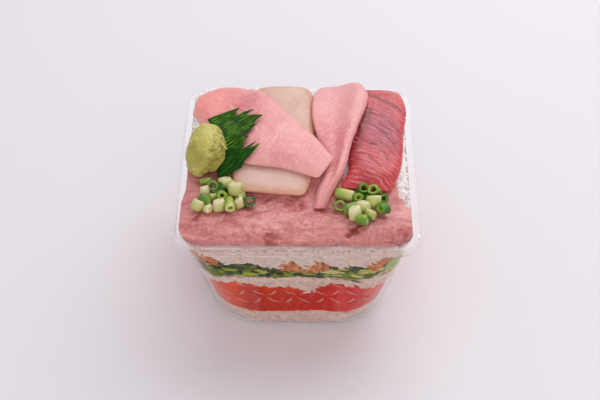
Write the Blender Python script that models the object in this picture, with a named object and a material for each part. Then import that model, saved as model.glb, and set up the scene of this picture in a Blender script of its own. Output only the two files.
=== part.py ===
"""Layered sushi in a deep square tub of clear plastic: the tub, the layers in it and the toppings.

All sizes are in millimetres. MM turns them into Blender's metres when a solid is made. The origin is
in the middle of the tub's underside, +X is to the right of the front wall and +Y points to the back.
"""
from math import cos, exp, hypot, pi, radians, sin, sqrt
from random import Random

import bmesh
import bpy
from mathutils import Euler, Matrix, Vector, noise
from mathutils.bvhtree import BVHTree

MM = 0.001

# The tub: a tapered square with round corners, a flat rim and a lip that turns down and flares
TUB_HEIGHT = 72.0
BASE_HALF = 46.0
BASE_CORNER = 28.0
OPENING_HALF = 54.7
OPENING_CORNER = 8.0
WALL = 0.6
FOOT_ROUND = 5.0
RIM_WIDTH = 4.1
LIP_DROP = 3.4
LIP_FLARE = 1.2
FOOT_ANGLES = (0, 30, 60, 90)

# Outline samples: straight steps on a side and arc steps on a corner
SIDE_STEPS = 10
CORNER_STEPS = 5
QUARTER = SIDE_STEPS + CORNER_STEPS
AROUND = 4 * QUARTER

# Gaps between pieces, and between the food and the wall
GAP = 0.3
LAYER_GAP = 0.44
FOOD_INSET = WALL + GAP
RICE_RELIEF = 0.55
RING_SHARES = (1.0, 0.93, 0.6)
FLAKE_RETREAT = 0.955

# Mean heights of the faces between the layers
FISH_FLOOR = 12.8
FISH_TOP = 35.5
GREENS_FLOOR = 43.5
GREENS_TOP = 51.5
RICE_TOP_FRONT = 66.2
RICE_TOP_RISE = 5.6
RICE_TOP_DOME = 2.4
RICE_HEAP = 5.2
RICE_HEAP_RIGHT = 3.4
FISH_SPLIT_X = 9.0

# Where those faces rise or sink at the front wall: x, y, rise, spread
FISH_FLOOR_LUMPS = ((29, -48, -3.6, 7), (10, -48, 1.4, 7))
FISH_TOP_LUMPS = ((-30, -50, 3.0, 12), (4, -50, -5.5, 4.5), (17, -50, 2.5, 6), (40, -48, -3.0, 8))
GREENS_FLOOR_LUMPS = ((-46, -46, 3.0, 8), (29, -51, -5.5, 5), (45, -48, 3.0, 6))
GREENS_TOP_LUMPS = ((-46, -48, 6.0, 8), (-28, -52, 4.0, 9), (4, -52, -3.0, 11), (27, -52, 2.5, 6))
FLAKE_SPOTS = ((-47, -49, 9.0), (-3, -52, 5.4), (10, -52, 5.4), (41, -51, 6.0), (-52, -12, 6.5),
               (-51, 27, 6.0), (-20, 52, 7.0), (24, 52, 6.0), (52, 22, 6.5), (52, -20, 6.0))
FLAKE_DEPTH = 9.0
FLAKE_LEAST = 1.5
FLAKE_LIMIT = 64.6
FLAKE_INNER = 3.0
FLAKE_SLOPE = 25.0
FLAKE_SHOWS = 0.3
FLAKE_FADES = 0.005
FLAKE_SPAN = (0.5, 0.95)

# The last rice rises to the back: over these depths, and less on the right past these places
RISE_FROM_TO = (-38, -6)
HEAP_FROM_TO = (-26, 4)
HEAP_RIGHT_FROM_TO = (14, 34)
DOME_REACH = 50


def outline_point(index, half, corner):
    """One sample of a square with round corners, counterclockwise from the right side's front end."""
    quarter, step = divmod(index % AROUND, QUARTER)
    straight = half - corner
    if step < SIDE_STEPS:
        x, y = half, straight * (2 * step / SIDE_STEPS - 1)
    else:
        angle = (step - SIDE_STEPS) / CORNER_STEPS * pi / 2
        x, y = straight + corner * cos(angle), straight + corner * sin(angle)
    for _ in range(quarter):
        x, y = -y, x
    return x, y


def wall_size(z, inset):
    """Half width and corner radius at a height, so far inside the tub's outer face."""
    rise = z / TUB_HEIGHT
    half = BASE_HALF + (OPENING_HALF + WALL - BASE_HALF) * rise - inset
    corner = BASE_CORNER + (OPENING_CORNER + WALL - BASE_CORNER) * rise - inset
    if z < FOOT_ROUND:
        radius = FOOT_ROUND - inset
        foot = radius - sqrt(max(0.0, radius ** 2 - (FOOT_ROUND - z) ** 2))
        half -= foot
        corner -= foot
    return half, corner


def wall_point(index, z, inset, share=1.0):
    """A point on the wall at a height, or part of the way in from the tub's middle."""
    x, y = outline_point(index, *wall_size(z, inset))
    return Vector((x * share, y * share, z))


def wall_distance(x, y, z):
    """How far a point lies inside the room that the food has."""
    half, corner = wall_size(z, FOOD_INSET)
    over_x = abs(x) - (half - corner)
    over_y = abs(y) - (half - corner)
    outside = hypot(max(over_x, 0.0), max(over_y, 0.0)) + min(max(over_x, over_y), 0.0)
    return corner - outside


def smooth_step(low, high, value):
    share = min(1.0, max(0.0, (value - low) / (high - low)))
    return share * share * (3 - 2 * share)


def lump(x, y, place_x, place_y, spread):
    return exp(-((x - place_x) ** 2 + (y - place_y) ** 2) / spread ** 2)


def ripple(x, y, z, size):
    """Even noise between about -1 and 1, in lumps of the given size."""
    return noise.noise(Vector((x, y, z)) / size)


# Materials and finished objects

def material(name, colour, rough, alpha=1.0):
    paint = bpy.data.materials.new(name)
    paint.use_nodes = True
    shader = paint.node_tree.nodes["Principled BSDF"]
    shader.inputs["Base Color"].default_value = (*colour, 1.0)
    shader.inputs["Roughness"].default_value = rough
    shader.inputs["Metallic"].default_value = 0.0
    shader.inputs["Alpha"].default_value = alpha
    paint.diffuse_color = (*colour, alpha)
    return paint


laid = []


def finish(name, bm, paint, smooth=False):
    """Turns a shape in millimetres into an object, and keeps it for later pieces to rest on."""
    bmesh.ops.recalc_face_normals(bm, faces=bm.faces)
    laid.append(BVHTree.FromBMesh(bm))
    bmesh.ops.scale(bm, vec=(MM, MM, MM), verts=bm.verts)
    mesh = bpy.data.meshes.new(name)
    bm.to_mesh(mesh)
    bm.free()
    mesh.materials.append(paint)
    if smooth:
        mesh.shade_smooth()
        mesh.set_sharp_from_angle(angle=radians(50))
    piece = bpy.data.objects.new(name, mesh)
    bpy.context.scene.collection.objects.link(piece)
    return piece


def fuse(name, core, pieces, paint):
    """Joins small pieces to their core by one Boolean union."""
    group = bpy.data.collections.new(name + "_pieces")
    bpy.context.scene.collection.children.link(group)
    for number, bm in enumerate(pieces):
        bmesh.ops.recalc_face_normals(bm, faces=bm.faces)
        mesh = bpy.data.meshes.new(f"{name}_piece_{number}")
        bm.to_mesh(mesh)
        bm.free()
        group.objects.link(bpy.data.objects.new(mesh.name, mesh))
    bmesh.ops.recalc_face_normals(core, faces=core.faces)
    mesh = bpy.data.meshes.new(name + "_core")
    core.to_mesh(mesh)
    core.free()
    body = bpy.data.objects.new(name + "_core", mesh)
    bpy.context.scene.collection.objects.link(body)
    union = body.modifiers.new("union", "BOOLEAN")
    union.operation = "UNION"
    union.operand_type = "COLLECTION"
    union.collection = group
    union.solver = "EXACT"
    fused = without_scraps(evaluated(body))
    for piece in list(group.objects) + [body]:
        bpy.data.objects.remove(piece)
    bpy.data.collections.remove(group)
    return finish(name, fused, paint)


def evaluated(body):
    """The shape of an object with its modifiers applied."""
    view = bpy.context.evaluated_depsgraph_get()
    bm = bmesh.new()
    bm.from_object(body, view)
    bmesh.ops.triangulate(bm, faces=bm.faces)
    return bm


def without_scraps(bm):
    """Keeps the largest connected body and drops any loose scrap."""
    left = set(bm.verts)
    bodies = []
    while left:
        body = {left.pop()}
        edge_of = list(body)
        while edge_of:
            found = {e.other_vert(v) for v in edge_of for e in v.link_edges} - body
            body |= found
            edge_of = list(found)
        left -= body
        bodies.append(body)
    bodies.sort(key=len)
    loose = [v for body in bodies[:-1] for v in body]
    bmesh.ops.delete(bm, geom=loose, context="VERTS")
    return bm


def cut_away(name, bm, cutter):
    """Takes a cutter's shape out of a piece."""
    bodies = []
    for shape in (bm, cutter):
        bmesh.ops.recalc_face_normals(shape, faces=shape.faces)
        mesh = bpy.data.meshes.new(name + "_cut")
        shape.to_mesh(mesh)
        body = bpy.data.objects.new(mesh.name, mesh)
        bpy.context.scene.collection.objects.link(body)
        bodies.append(body)
    cut = bodies[0].modifiers.new("cut", "BOOLEAN")
    cut.operation = "DIFFERENCE"
    cut.object = bodies[1]
    cut.solver = "EXACT"
    result = evaluated(bodies[0])
    for body in bodies:
        bpy.data.objects.remove(body)
    bm.free()
    return result


# Solids made of rings

def band(bm, outer, inner):
    """Joins two rings with triangles, always split the same way."""
    count = len(outer)
    for k in range(count):
        after = (k + 1) % count
        bm.faces.new((outer[k], outer[after], inner[after]))
        bm.faces.new((outer[k], inner[after], inner[k]))


def cap(bm, ring, centre):
    middle = bm.verts.new(centre)
    for k in range(len(ring)):
        bm.faces.new((ring[k], ring[(k + 1) % len(ring)], middle))


def tub():
    """One thin wall all round: up the outside, over the rim and its lip, and down the inside."""
    top = TUB_HEIGHT
    half, corner = OPENING_HALF, OPENING_CORNER
    foot_angles = [radians(a) for a in FOOT_ANGLES]
    # The flat sides need only their two ends and their middle
    kept = [k for k in range(AROUND) if k % QUARTER >= SIDE_STEPS or k % QUARTER in (0, SIDE_STEPS // 2)]

    def wall_ring(z, inset):
        return [wall_point(k, z, inset) for k in kept]

    def rim_ring(z, out):
        return [Vector((*outline_point(k, half + out, corner + out), z)) for k in kept]

    outside = [wall_ring(FOOT_ROUND - FOOT_ROUND * cos(a), 0.0) for a in foot_angles]
    outside += [wall_ring(z, 0.0) for z in (top / 2, top - WALL)]
    rim = [rim_ring(top - WALL, RIM_WIDTH - WALL), rim_ring(top - LIP_DROP, RIM_WIDTH - WALL + LIP_FLARE),
           rim_ring(top - LIP_DROP, RIM_WIDTH + LIP_FLARE), rim_ring(top, RIM_WIDTH), rim_ring(top, 0.0)]
    inner_foot = FOOT_ROUND - WALL
    inside = [wall_ring(top / 2, WALL)]
    inside += [wall_ring(FOOT_ROUND - inner_foot * cos(a), WALL) for a in reversed(foot_angles)]

    bm = bmesh.new()
    rings = [[bm.verts.new(point) for point in ring] for ring in outside + rim + inside]
    for first, second in zip(rings, rings[1:]):
        band(bm, first, second)
    cap(bm, rings[0], (0, 0, 0))
    cap(bm, rings[-1], (0, 0, WALL))
    return finish("tub", bm, material("clear_plastic", (0.93, 0.94, 0.96), 0.08, 0.3), smooth=True)


# The faces between the layers, as heights over the tub's plan

def lumps_at(x, y, lumps):
    return sum(rise * lump(x, y, px, py, spread) for px, py, rise, spread in lumps)


def fish_floor(x, y, share):
    return FISH_FLOOR + 1.0 * ripple(x, y, 3, 17) + lumps_at(x, y, FISH_FLOOR_LUMPS)


def fish_top(x, y, share):
    return FISH_TOP + 1.8 * ripple(x, y, 40, 14) + lumps_at(x, y, FISH_TOP_LUMPS)


def greens_floor(x, y, share):
    return GREENS_FLOOR + 1.2 * ripple(x, y, 80, 12) + lumps_at(x, y, GREENS_FLOOR_LUMPS)


def greens_top(x, y, share):
    return GREENS_TOP + 1.5 * ripple(x, y, 120, 10) + lumps_at(x, y, GREENS_TOP_LUMPS)


def flake_spot(x, y):
    """How strongly the flakes show at a place by the wall, from 0 to 1."""
    return max(lump(x, y, px, py, spread) for px, py, spread in FLAKE_SPOTS)


def flake_edge(x, y):
    """The flakes reach the wall at their spots and end short of it elsewhere."""
    return 1.0 if flake_spot(x, y) > FLAKE_SHOWS else FLAKE_RETREAT


def flake_top(x, y, share):
    """Upper face of the flakes, which is the greens' own where no flakes show."""
    spot = flake_spot(x / share, y / share) if share else 0.0
    inner = min(FLAKE_INNER, FLAKE_SLOPE * (1 - share))
    at_wall = max(FLAKE_LEAST, FLAKE_DEPTH * spot) if spot > FLAKE_FADES else 0.0
    height = greens_top(x, y, share) + max(inner, at_wall * smooth_step(*FLAKE_SPAN, share))
    return min(height, FLAKE_LIMIT)


def rice_top(x, y, share):
    """The last rice: low under the front band, heaped over the rim under the slices."""
    rise = RICE_TOP_RISE * smooth_step(*RISE_FROM_TO, y)
    dome = RICE_TOP_DOME * max(0.0, 1 - (x * x + y * y) / DOME_REACH ** 2)
    heap = RICE_HEAP + (RICE_HEAP_RIGHT - RICE_HEAP) * smooth_step(*HEAP_RIGHT_FROM_TO, x)
    heap *= smooth_step(*HEAP_FROM_TO, y) * (1 - smooth_step(RING_SHARES[1], RING_SHARES[0], share))
    return RICE_TOP_FRONT + rise + dome + heap + 0.5 * ripple(x, y, 160, 5)


def face_ring(height, level, share, lift, edge=None):
    """One ring of a face between layers, on the wall's true taper."""
    ring = []
    for k in range(AROUND):
        nominal = wall_point(k, level, FOOD_INSET)
        z = height(nominal.x * share, nominal.y * share, share) + lift
        reach = share
        if share == 1.0 and edge:
            reach = edge(nominal.x, nominal.y)
            inner = RING_SHARES[1]
            inner_z = height(nominal.x * inner, nominal.y * inner, inner) + lift
            z += (inner_z - z) * (1 - reach) / (1 - inner)
        ring.append(wall_point(k, z, FOOD_INSET, reach))
    return ring


def layer(floor, floor_level, top, top_level, side_rings, relief, edge=None):
    """A layer of the filling, with its lower and upper face and the relief of its side."""
    bm = bmesh.new()
    lower = [face_ring(floor, floor_level, s, LAYER_GAP / 2, edge) for s in RING_SHARES]
    upper = [face_ring(top, top_level, s, -LAYER_GAP / 2, edge) for s in RING_SHARES]
    sides = side_wall(lower[0], upper[0], side_rings, relief)
    low, side, high = ([[bm.verts.new(p) for p in ring] for ring in rings]
                       for rings in (lower, sides, upper))
    for rings in (low, [low[0]] + side + [high[0]], high):
        for first, second in zip(rings, rings[1:]):
            band(bm, first, second)
    cap(bm, low[-1], (0, 0, floor(0, 0, 0) + LAYER_GAP / 2))
    cap(bm, high[-1], (0, 0, top(0, 0, 0) - LAYER_GAP / 2))
    return bm


def side_wall(low, high, side_rings, relief):
    """Rings between a layer's two edges, pressed to the wall with small dents between lumps."""
    rings = []
    for n in range(1, side_rings + 1):
        ring = []
        for k in range(AROUND):
            mix = low[k].lerp(high[k], n / (side_rings + 1))
            outer = wall_point(k, mix.z, FOOD_INSET)
            reach = hypot(mix.x, mix.y) / hypot(outer.x, outer.y)
            dent = relief * (0.5 + 0.5 * ripple(mix.x, mix.y, mix.z, 1.7))
            ring.append(wall_point(k, mix.z, FOOD_INSET + dent, min(1.0, reach)))
        rings.append(ring)
    return rings


def rice_bottom():
    """The first rice fills the tub's foot and its round edge."""
    foot = FOOT_ROUND - FOOD_INSET
    bm = bmesh.new()
    heights = [FOOT_ROUND - foot * cos(radians(a)) for a in FOOT_ANGLES]
    rings = [[wall_point(k, z, FOOD_INSET) for k in range(AROUND)] for z in heights]
    upper = [face_ring(fish_floor, FISH_FLOOR, s, -LAYER_GAP / 2) for s in RING_SHARES]
    rings += side_wall(rings[-1], upper[0], 2, RICE_RELIEF) + upper
    made = [[bm.verts.new(p) for p in ring] for ring in rings]
    for first, second in zip(made, made[1:]):
        band(bm, first, second)
    cap(bm, made[0], (0, 0, FOOD_INSET))
    cap(bm, made[-1], (0, 0, fish_floor(0, 0, 0) - LAYER_GAP / 2))
    return finish("rice_bottom", bm, material("rice", (0.86, 0.83, 0.79), 0.45))


def fish_layer():
    """Two kinds of fish side by side, parted by a plain cut from front to back."""
    whole = layer(fish_floor, FISH_FLOOR, fish_top, FISH_TOP, 1, 0.3)
    halves = (("salmon_layer", -GAP / 2, False, (0.80, 0.20, 0.09)),
              ("tuna_layer", GAP / 2, True, (0.72, 0.07, 0.06)))
    for name, shift, right, colour in halves:
        bm = whole.copy()
        everything = bm.verts[:] + bm.edges[:] + bm.faces[:]
        cut = bmesh.ops.bisect_plane(
            bm, geom=everything, dist=1e-5, plane_co=(FISH_SPLIT_X + shift, 0, 0),
            plane_no=(1, 0, 0.12), clear_inner=right, clear_outer=not right)
        edges = [part for part in cut["geom_cut"] if isinstance(part, bmesh.types.BMEdge)]
        bmesh.ops.edgeloop_fill(bm, edges=edges)
        bmesh.ops.triangulate(bm, faces=bm.faces)
        finish(name, bm, material(name, colour, 0.35))
    whole.free()


# The vegetable piece at the front right corner stands against the wall

VEG_FROM, VEG_TO = AROUND - CORNER_STEPS + 1.2, AROUND - 0.4
VEG_LOW, VEG_HIGH = 44.0, 61.5
VEG_THICK = 3.2
VEG_ROUND = 0.35
VEG_REACH_OUT = 4
VEG_COLUMNS = 4
VEG_ROWS = 3


def vegetable_shape(grow):
    """A curved slab that follows the corner, grown all round to cut its own hollow."""
    bm = bmesh.new()
    faces = []
    for inset in (FOOD_INSET - grow * VEG_REACH_OUT, FOOD_INSET + VEG_THICK + grow):
        grid = []
        for i in range(VEG_COLUMNS + 1):
            column = []
            for j in range(VEG_ROWS + 1):
                side = 2 * i / VEG_COLUMNS - 1
                tall = 2 * j / VEG_ROWS - 1
                squeeze = sqrt(1 - VEG_ROUND * tall * tall)
                place = (VEG_FROM + VEG_TO) / 2 + side * squeeze * (VEG_TO - VEG_FROM) / 2
                z = (VEG_LOW + VEG_HIGH) / 2 + tall * (VEG_HIGH - VEG_LOW) / 2
                z += grow * (1 if tall > 0 else -1) * abs(tall)
                place += grow * side
                low, high = int(place), int(place) + 1
                first, second = wall_point(low, z, inset), wall_point(high, z, inset)
                column.append(bm.verts.new(first.lerp(second, place - low)))
            grid.append(column)
        faces.append(grid)
    close_grids(bm, faces[0], faces[1])
    return bm


def close_grids(bm, first, second):
    """Two like grids, with a strip round their edge, make a closed slab."""
    for grid in (first, second):
        for i in range(len(grid) - 1):
            for j in range(len(grid[0]) - 1):
                a, b, c, d = grid[i][j], grid[i + 1][j], grid[i + 1][j + 1], grid[i][j + 1]
                bm.faces.new((a, b, c))
                bm.faces.new((a, c, d))
    rims = []
    for grid in (first, second):
        rim = [column[0] for column in grid]
        rim += grid[-1][1:]
        rim += [column[-1] for column in reversed(grid[:-1])]
        rim += list(reversed(grid[0][1:-1]))
        rims.append(rim)
    band(bm, rims[0], rims[1])


# Shredded leaves: strips pressed to the wall over a core

SHRED_COUNT = 22
SHRED_STEPS = 2
SHRED_THICK = 1.15
SHRED_LENGTHS = (1.2, 2.2)
SHRED_WIDTHS = (2.0, 3.2)
SHRED_MARGIN = 1.6
SHRED_FILL = 0.6
GREENS_RETREAT = 0.99


def shred(place, length, height, width, slant, bend):
    """A strip along the wall from one outline place to another, rising and bending a little."""
    bm = bmesh.new()
    rings = []
    for n in range(SHRED_STEPS + 1):
        t = n / SHRED_STEPS
        where = place + length * t
        low, high = int(where), int(where) + 1
        middle = height + slant * (t - 0.5) + bend * sin(pi * t)
        ring = []
        for z, inset in ((-1, 0), (1, 0), (1, 1), (-1, 1)):
            level = middle + z * width / 2 * (0.35 + 0.65 * sin(pi * (0.15 + 0.7 * t)))
            depth = FOOD_INSET + 0.02 + inset * SHRED_THICK
            point = wall_point(low, level, depth).lerp(wall_point(high, level, depth), where - low)
            ring.append(bm.verts.new(point))
        rings.append(ring)
    for first, second in zip(rings, rings[1:]):
        band(bm, first, second)
    for ring in (rings[0], rings[-1]):
        bm.faces.new((ring[0], ring[1], ring[2]))
        bm.faces.new((ring[0], ring[2], ring[3]))
    return bm


def greens_edge(x, y):
    """The core of the greens ends just short of the wall, where the strips lie."""
    return GREENS_RETREAT


def greens_shreds():
    """Strips spread evenly round the wall, each kept within the greens' own height there."""
    draw = Random(11)
    strips = []
    for n in range(SHRED_COUNT):
        length = draw.uniform(*SHRED_LENGTHS)
        place = AROUND * (n + draw.uniform(-0.2, 0.2)) / SHRED_COUNT + 0.3
        low, high = -100.0, 100.0
        for k in range(int(place), int(place + length) + 2):
            spot = wall_point(k, GREENS_TOP, FOOD_INSET)
            low = max(low, greens_floor(spot.x, spot.y, 1.0))
            high = min(high, greens_top(spot.x, spot.y, 1.0))
        room = high - low - SHRED_MARGIN
        width = min(draw.uniform(*SHRED_WIDTHS), room * SHRED_FILL)
        slack = max(0.0, room - width) / 2
        height = (low + high) / 2 + draw.uniform(-0.6, 0.6) * slack
        slant = draw.uniform(-0.35, 0.35) * slack
        strips.append(shred(place, length, height, width, slant, 0.2 * slack))
    return strips


def fillings():
    """Everything below the toppings, from the middle rice up, round the vegetable piece."""
    rice = material("rice_upper", (0.86, 0.83, 0.79), 0.45)
    middle = layer(fish_top, FISH_TOP, greens_floor, GREENS_FLOOR, 1, RICE_RELIEF)
    middle = cut_away("rice_middle", middle, vegetable_shape(GAP))
    finish("rice_middle", middle, rice)

    greens = layer(greens_floor, GREENS_FLOOR, greens_top, GREENS_TOP, 1, 0.3, edge=greens_edge)
    greens = cut_away("greens", greens, vegetable_shape(GAP))
    clear = [strip for strip in greens_shreds() if not crosses_vegetable(strip)]
    fuse("greens", greens, clear, material("green_leaves", (0.20, 0.33, 0.08), 0.5))

    flakes = layer(greens_top, GREENS_TOP, flake_top, GREENS_TOP, 2, 0.5, edge=flake_edge)
    flakes = cut_away("salmon_flakes", flakes, vegetable_shape(GAP))
    finish("salmon_flakes", flakes, material("salmon_flakes", (0.78, 0.40, 0.22), 0.55))

    top = layer(flake_top, GREENS_TOP, rice_top, RICE_TOP_FRONT, 2, RICE_RELIEF)
    top = cut_away("rice_top", top, vegetable_shape(GAP))
    finish("rice_top", top, rice)

    finish("cucumber_piece", vegetable_shape(0.0), material("cucumber", (0.60, 0.68, 0.32), 0.4))


def crosses_vegetable(strip):
    tree = BVHTree.FromBMesh(strip)
    slab = vegetable_shape(GAP)
    crossing = tree.overlap(BVHTree.FromBMesh(slab))
    slab.free()
    return bool(crossing)


# Toppings: each rests on whatever was laid before it

HIGH_UP = 200.0
SETTLE_PASSES = 3
SLICE_REACH = 2.8
SLICE_BULGE = 0.7
SLICE_EDGE_SHARES = {0: 0.5, 1: 0.88}
SLAB_WAIST = 0.45
COMPASS = [(cos(n * pi / 4), sin(n * pi / 4)) for n in range(8)]


def top_at(x, y):
    """Height of what lies highest at a place."""
    best = RICE_TOP_FRONT
    for tree in laid:
        hit = tree.ray_cast(Vector((x, y, HIGH_UP)), Vector((0, 0, -1)))[0]
        if hit:
            best = max(best, hit.z)
    return best


def clear_height(x, y, reach):
    """Height that clears everything within reach of a place."""
    spots = [(0.0, 0.0)] + [(cx * r, cy * r) for r in (reach / 2, reach) for cx, cy in COMPASS]
    return GAP + max(top_at(x + dx, y + dy) for dx, dy in spots)


def clear_rim(x, y):
    """Height that clears the rim, where a place is above it."""
    return TUB_HEIGHT + GAP if wall_distance(x, y, TUB_HEIGHT) < WALL + FOOD_INSET else 0.0


def curve_through(points, count):
    """Evenly spaced places on the smooth curve through a few points."""
    knots = [Vector(p) for p in points]
    ends = [knots[0] * 2 - knots[1]] + knots + [knots[-1] * 2 - knots[-2]]
    fine = []
    for before, a, b, after in zip(ends, ends[1:], ends[2:], ends[3:]):
        for n in range(10):
            t = n / 10
            fine.append(0.5 * (2 * a + (b - before) * t + (2 * before - 5 * a + 4 * b - after) * t * t
                               + (3 * a - before - 3 * b + after) * t ** 3))
    fine.append(knots[-1])
    lengths = [0.0]
    for first, second in zip(fine, fine[1:]):
        lengths.append(lengths[-1] + (second - first).length)
    places = []
    for n in range(count + 1):
        target = lengths[-1] * n / count
        k = next((i for i in range(1, len(fine)) if lengths[i] >= target - 1e-6), len(fine) - 1)
        t = (target - lengths[k - 1]) / max(1e-9, lengths[k] - lengths[k - 1])
        places.append(fine[k - 1].lerp(fine[k], t))
    return places


def settle(under, passes, neighbours):
    """Smooths heights without letting any sink."""
    for _ in range(passes):
        mean = [sum(under[m] for m in near) / len(near) for near in neighbours]
        under = [max(own, average) for own, average in zip(under, mean)]
    return under


def near_each(count, triangles):
    near = [set() for _ in range(count)]
    for face in triangles:
        for a in face:
            near[a].update(b for b in face if b != a)
    return [sorted(group) for group in near]


def grid_triangles(along, across):
    """Triangles of a grid whose points run across first, then along."""
    triangles = []
    for i in range(along):
        for j in range(across):
            a = i * (across + 1) + j
            b, c, d = a + across + 1, a + across + 2, a + 1
            triangles += [(a, b, c), (a, c, d)]
    return triangles


def slab(plan, triangles, under, thick, bulge):
    """A closed solid over a flat set of triangles, with a side that may bulge outward."""
    bm = bmesh.new()
    lower = [bm.verts.new((p[0], p[1], z)) for p, z in zip(plan, under)]
    upper = [bm.verts.new((p[0], p[1], z + t)) for p, z, t in zip(plan, under, thick)]
    used = {}
    for a, b, c in triangles:
        bm.faces.new((upper[a], upper[b], upper[c]))
        bm.faces.new((lower[c], lower[b], lower[a]))
        for edge in ((a, b), (b, c), (c, a)):
            used[edge] = True
    border = {a: b for a, b in used if (b, a) not in used}
    before = {b: a for a, b in border.items()}
    middle = {}
    for k, after in border.items():
        run = Vector(plan[after]) - Vector(plan[before[k]])
        out = Vector((run.y, -run.x)).normalized() * bulge
        middle[k] = bm.verts.new((plan[k][0] + out.x, plan[k][1] + out.y, under[k] + thick[k] * SLAB_WAIST))
    for a, b in border.items():
        for low, high in ((lower, middle), (middle, upper)):
            bm.faces.new((low[a], low[b], high[b]))
            bm.faces.new((low[a], high[b], high[a]))
    return bm


def drape(left, right, along, across, thick, shape=None):
    """A slice of fish between two edge curves, lying on everything beneath it."""
    first, second = curve_through(left, along), curve_through(right, along)
    plan, profile = [], []
    for i in range(along + 1):
        for j in range(across + 1):
            u, v = i / along, j / across
            plan.append(tuple(first[i].lerp(second[i], v)))
            edge = edge_share(i, along) * edge_share(j, across)
            profile.append(thick * edge * (shape(u, v) if shape else 1.0))
    triangles = grid_triangles(along, across)
    under = [max(clear_height(x, y, SLICE_REACH), clear_rim(x, y)) for x, y in plan]
    under = settle(under, SETTLE_PASSES, near_each(len(plan), triangles))
    return slab(plan, triangles, under, profile, SLICE_BULGE)


def edge_share(step, steps):
    """A slice thins at its rim and is full two steps in."""
    return SLICE_EDGE_SHARES.get(min(step, steps - step), 1.0)


# Minced fish: a thick band along the front, reaching back on both sides

PASTE_COLUMNS = 25
PASTE_ROWS = 10
PASTE_LEVEL = 70.0
PASTE_MEAN = 74.2
PASTE_RIGHT_INSET = 5.5
PASTE_EDGE_DROP = 2.4
PASTE_EDGE_WIDTH = 4.0
PASTE_LEAST = 1.4
PASTE_REACH = 2.4
PASTE_BUNCH = 1.2


def paste_back(x):
    """The hidden back edge: far back by the left wall, short under the slices."""
    return -3.0 - 11.0 * smooth_step(-34, -22, x) + 3.0 * smooth_step(20, 34, x)


def paste_side(y):
    """Half width of the room for food at a depth, with the front corners' arcs."""
    half, corner = wall_size(PASTE_LEVEL, FOOD_INSET)
    over = max(0.0, -y - (half - corner))
    return half - corner + sqrt(max(0.0, corner * corner - over * over))


def paste_top(x, y):
    """Long soft folds from side to side, a groove behind the first and a mound by the left wall."""
    front_fold = 2.2 * exp(-((y + 45 + 0.05 * x) / 6) ** 2)
    groove = 2.0 * exp(-((y + 31 + 1.5 * sin(x / 9)) / 2.6) ** 2) * smooth_step(-36, -24, x)
    groove *= 1 - smooth_step(16, 26, x)
    mound = 3.0 * lump(x, y, -47, -24, 10) + 1.2 * lump(x, y, 44, -42, 9)
    edge = PASTE_EDGE_DROP * max(0.0, 1 - wall_distance(x, y, PASTE_LEVEL) / PASTE_EDGE_WIDTH) ** 2
    return PASTE_MEAN + front_fold - groove + mound - edge + 1.3 * ripple(x, y, 7, 7)


def minced_tuna():
    half = wall_size(PASTE_LEVEL, FOOD_INSET)[0]
    plan = []
    for i in range(PASTE_COLUMNS + 1):
        for j in range(PASTE_ROWS + 1):
            u, v = i / PASTE_COLUMNS, j / PASTE_ROWS
            y = -half + v ** PASTE_BUNCH * (half + paste_back(half * (2 * u - 1)))
            left = -paste_side(y)
            right = paste_side(y) - PASTE_RIGHT_INSET * smooth_step(-34, -24, y)
            plan.append((left + u * (right - left), y))
    triangles = grid_triangles(PASTE_COLUMNS, PASTE_ROWS)
    under = [clear_height(x, y, PASTE_REACH) for x, y in plan]
    under = settle(under, SETTLE_PASSES, near_each(len(plan), triangles))
    thick = [max(PASTE_LEAST, paste_top(x, y) - z) for (x, y), z in zip(plan, under)]
    bm = slab(plan, triangles, under, thick, 0.0)
    finish("minced_tuna", bm, material("minced_tuna", (0.78, 0.42, 0.40), 0.4), smooth=True)


# Slices: the two long edges of each, from its back end to its front end

PALE_LEFT = ((-21.5, 51), (-24, 30), (-28, 5), (-32.0, -13), (-29.0, -24.0))
PALE_RIGHT = ((4.5, 51.5), (8, 40), (8, 12), (6.8, -14), (3.0, -26.5))
AKAMI_LEFT = ((30, 50.5), (28, 38), (27.5, 18), (25.6, -1), (25.8, -12), (21.4, -22))
AKAMI_RIGHT = ((53.0, 51), (56.0, 36), (53.6, 18), (51.2, -7), (45.2, -23.4))
CHUTORO_LEFT = ((11.5, 51.5), (8, 38), (8, 18), (12, 1.5), (13.2, -12), (9.6, -24), (8.2, -34))
CHUTORO_RIGHT = ((33, 51.5), (35.5, 39), (30.8, 21.5), (25.2, 2), (22.8, -12), (17.6, -23), (12.8, -34))
OTORO_LEFT = ((-54.6, 30.5), (-46.8, 18.5), (-36.5, 0), (-26.5, -11.5), (-9, -14.5), (10, -19.5))
OTORO_RIGHT = ((-52.3, 45), (-38, 51.5), (-22, 44.3), (-8.6, 26.8), (7.5, 7), (17.4, -7.5))
PALE_THICK = 5.0
AKAMI_THICK = 5.6
CHUTORO_THICK = 4.4
OTORO_THICK = 4.6


def slices():
    pale = drape(PALE_LEFT, PALE_RIGHT, 14, 6, PALE_THICK)
    finish("pale_slice", pale, material("pale_slice", (0.80, 0.64, 0.52), 0.35), smooth=True)
    akami = drape(AKAMI_LEFT, AKAMI_RIGHT, 13, 6, AKAMI_THICK)
    finish("akami_slice", akami, material("akami_slice", (0.55, 0.06, 0.10), 0.3), smooth=True)
    chutoro = drape(CHUTORO_LEFT, CHUTORO_RIGHT, 16, 6, CHUTORO_THICK, folded_edge)
    finish("chutoro_slice", chutoro, material("chutoro_slice", (0.78, 0.36, 0.36), 0.35), smooth=True)
    otoro = drape(OTORO_LEFT, OTORO_RIGHT, 17, 7, OTORO_THICK, soft_ribs)
    finish("otoro_slice", otoro, material("otoro_slice", (0.86, 0.50, 0.48), 0.35), smooth=True)


def folded_edge(u, v):
    """The right edge is turned up into a thick roll."""
    return 0.9 + 0.45 * exp(-((v - 0.86) / 0.16) ** 2)


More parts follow.
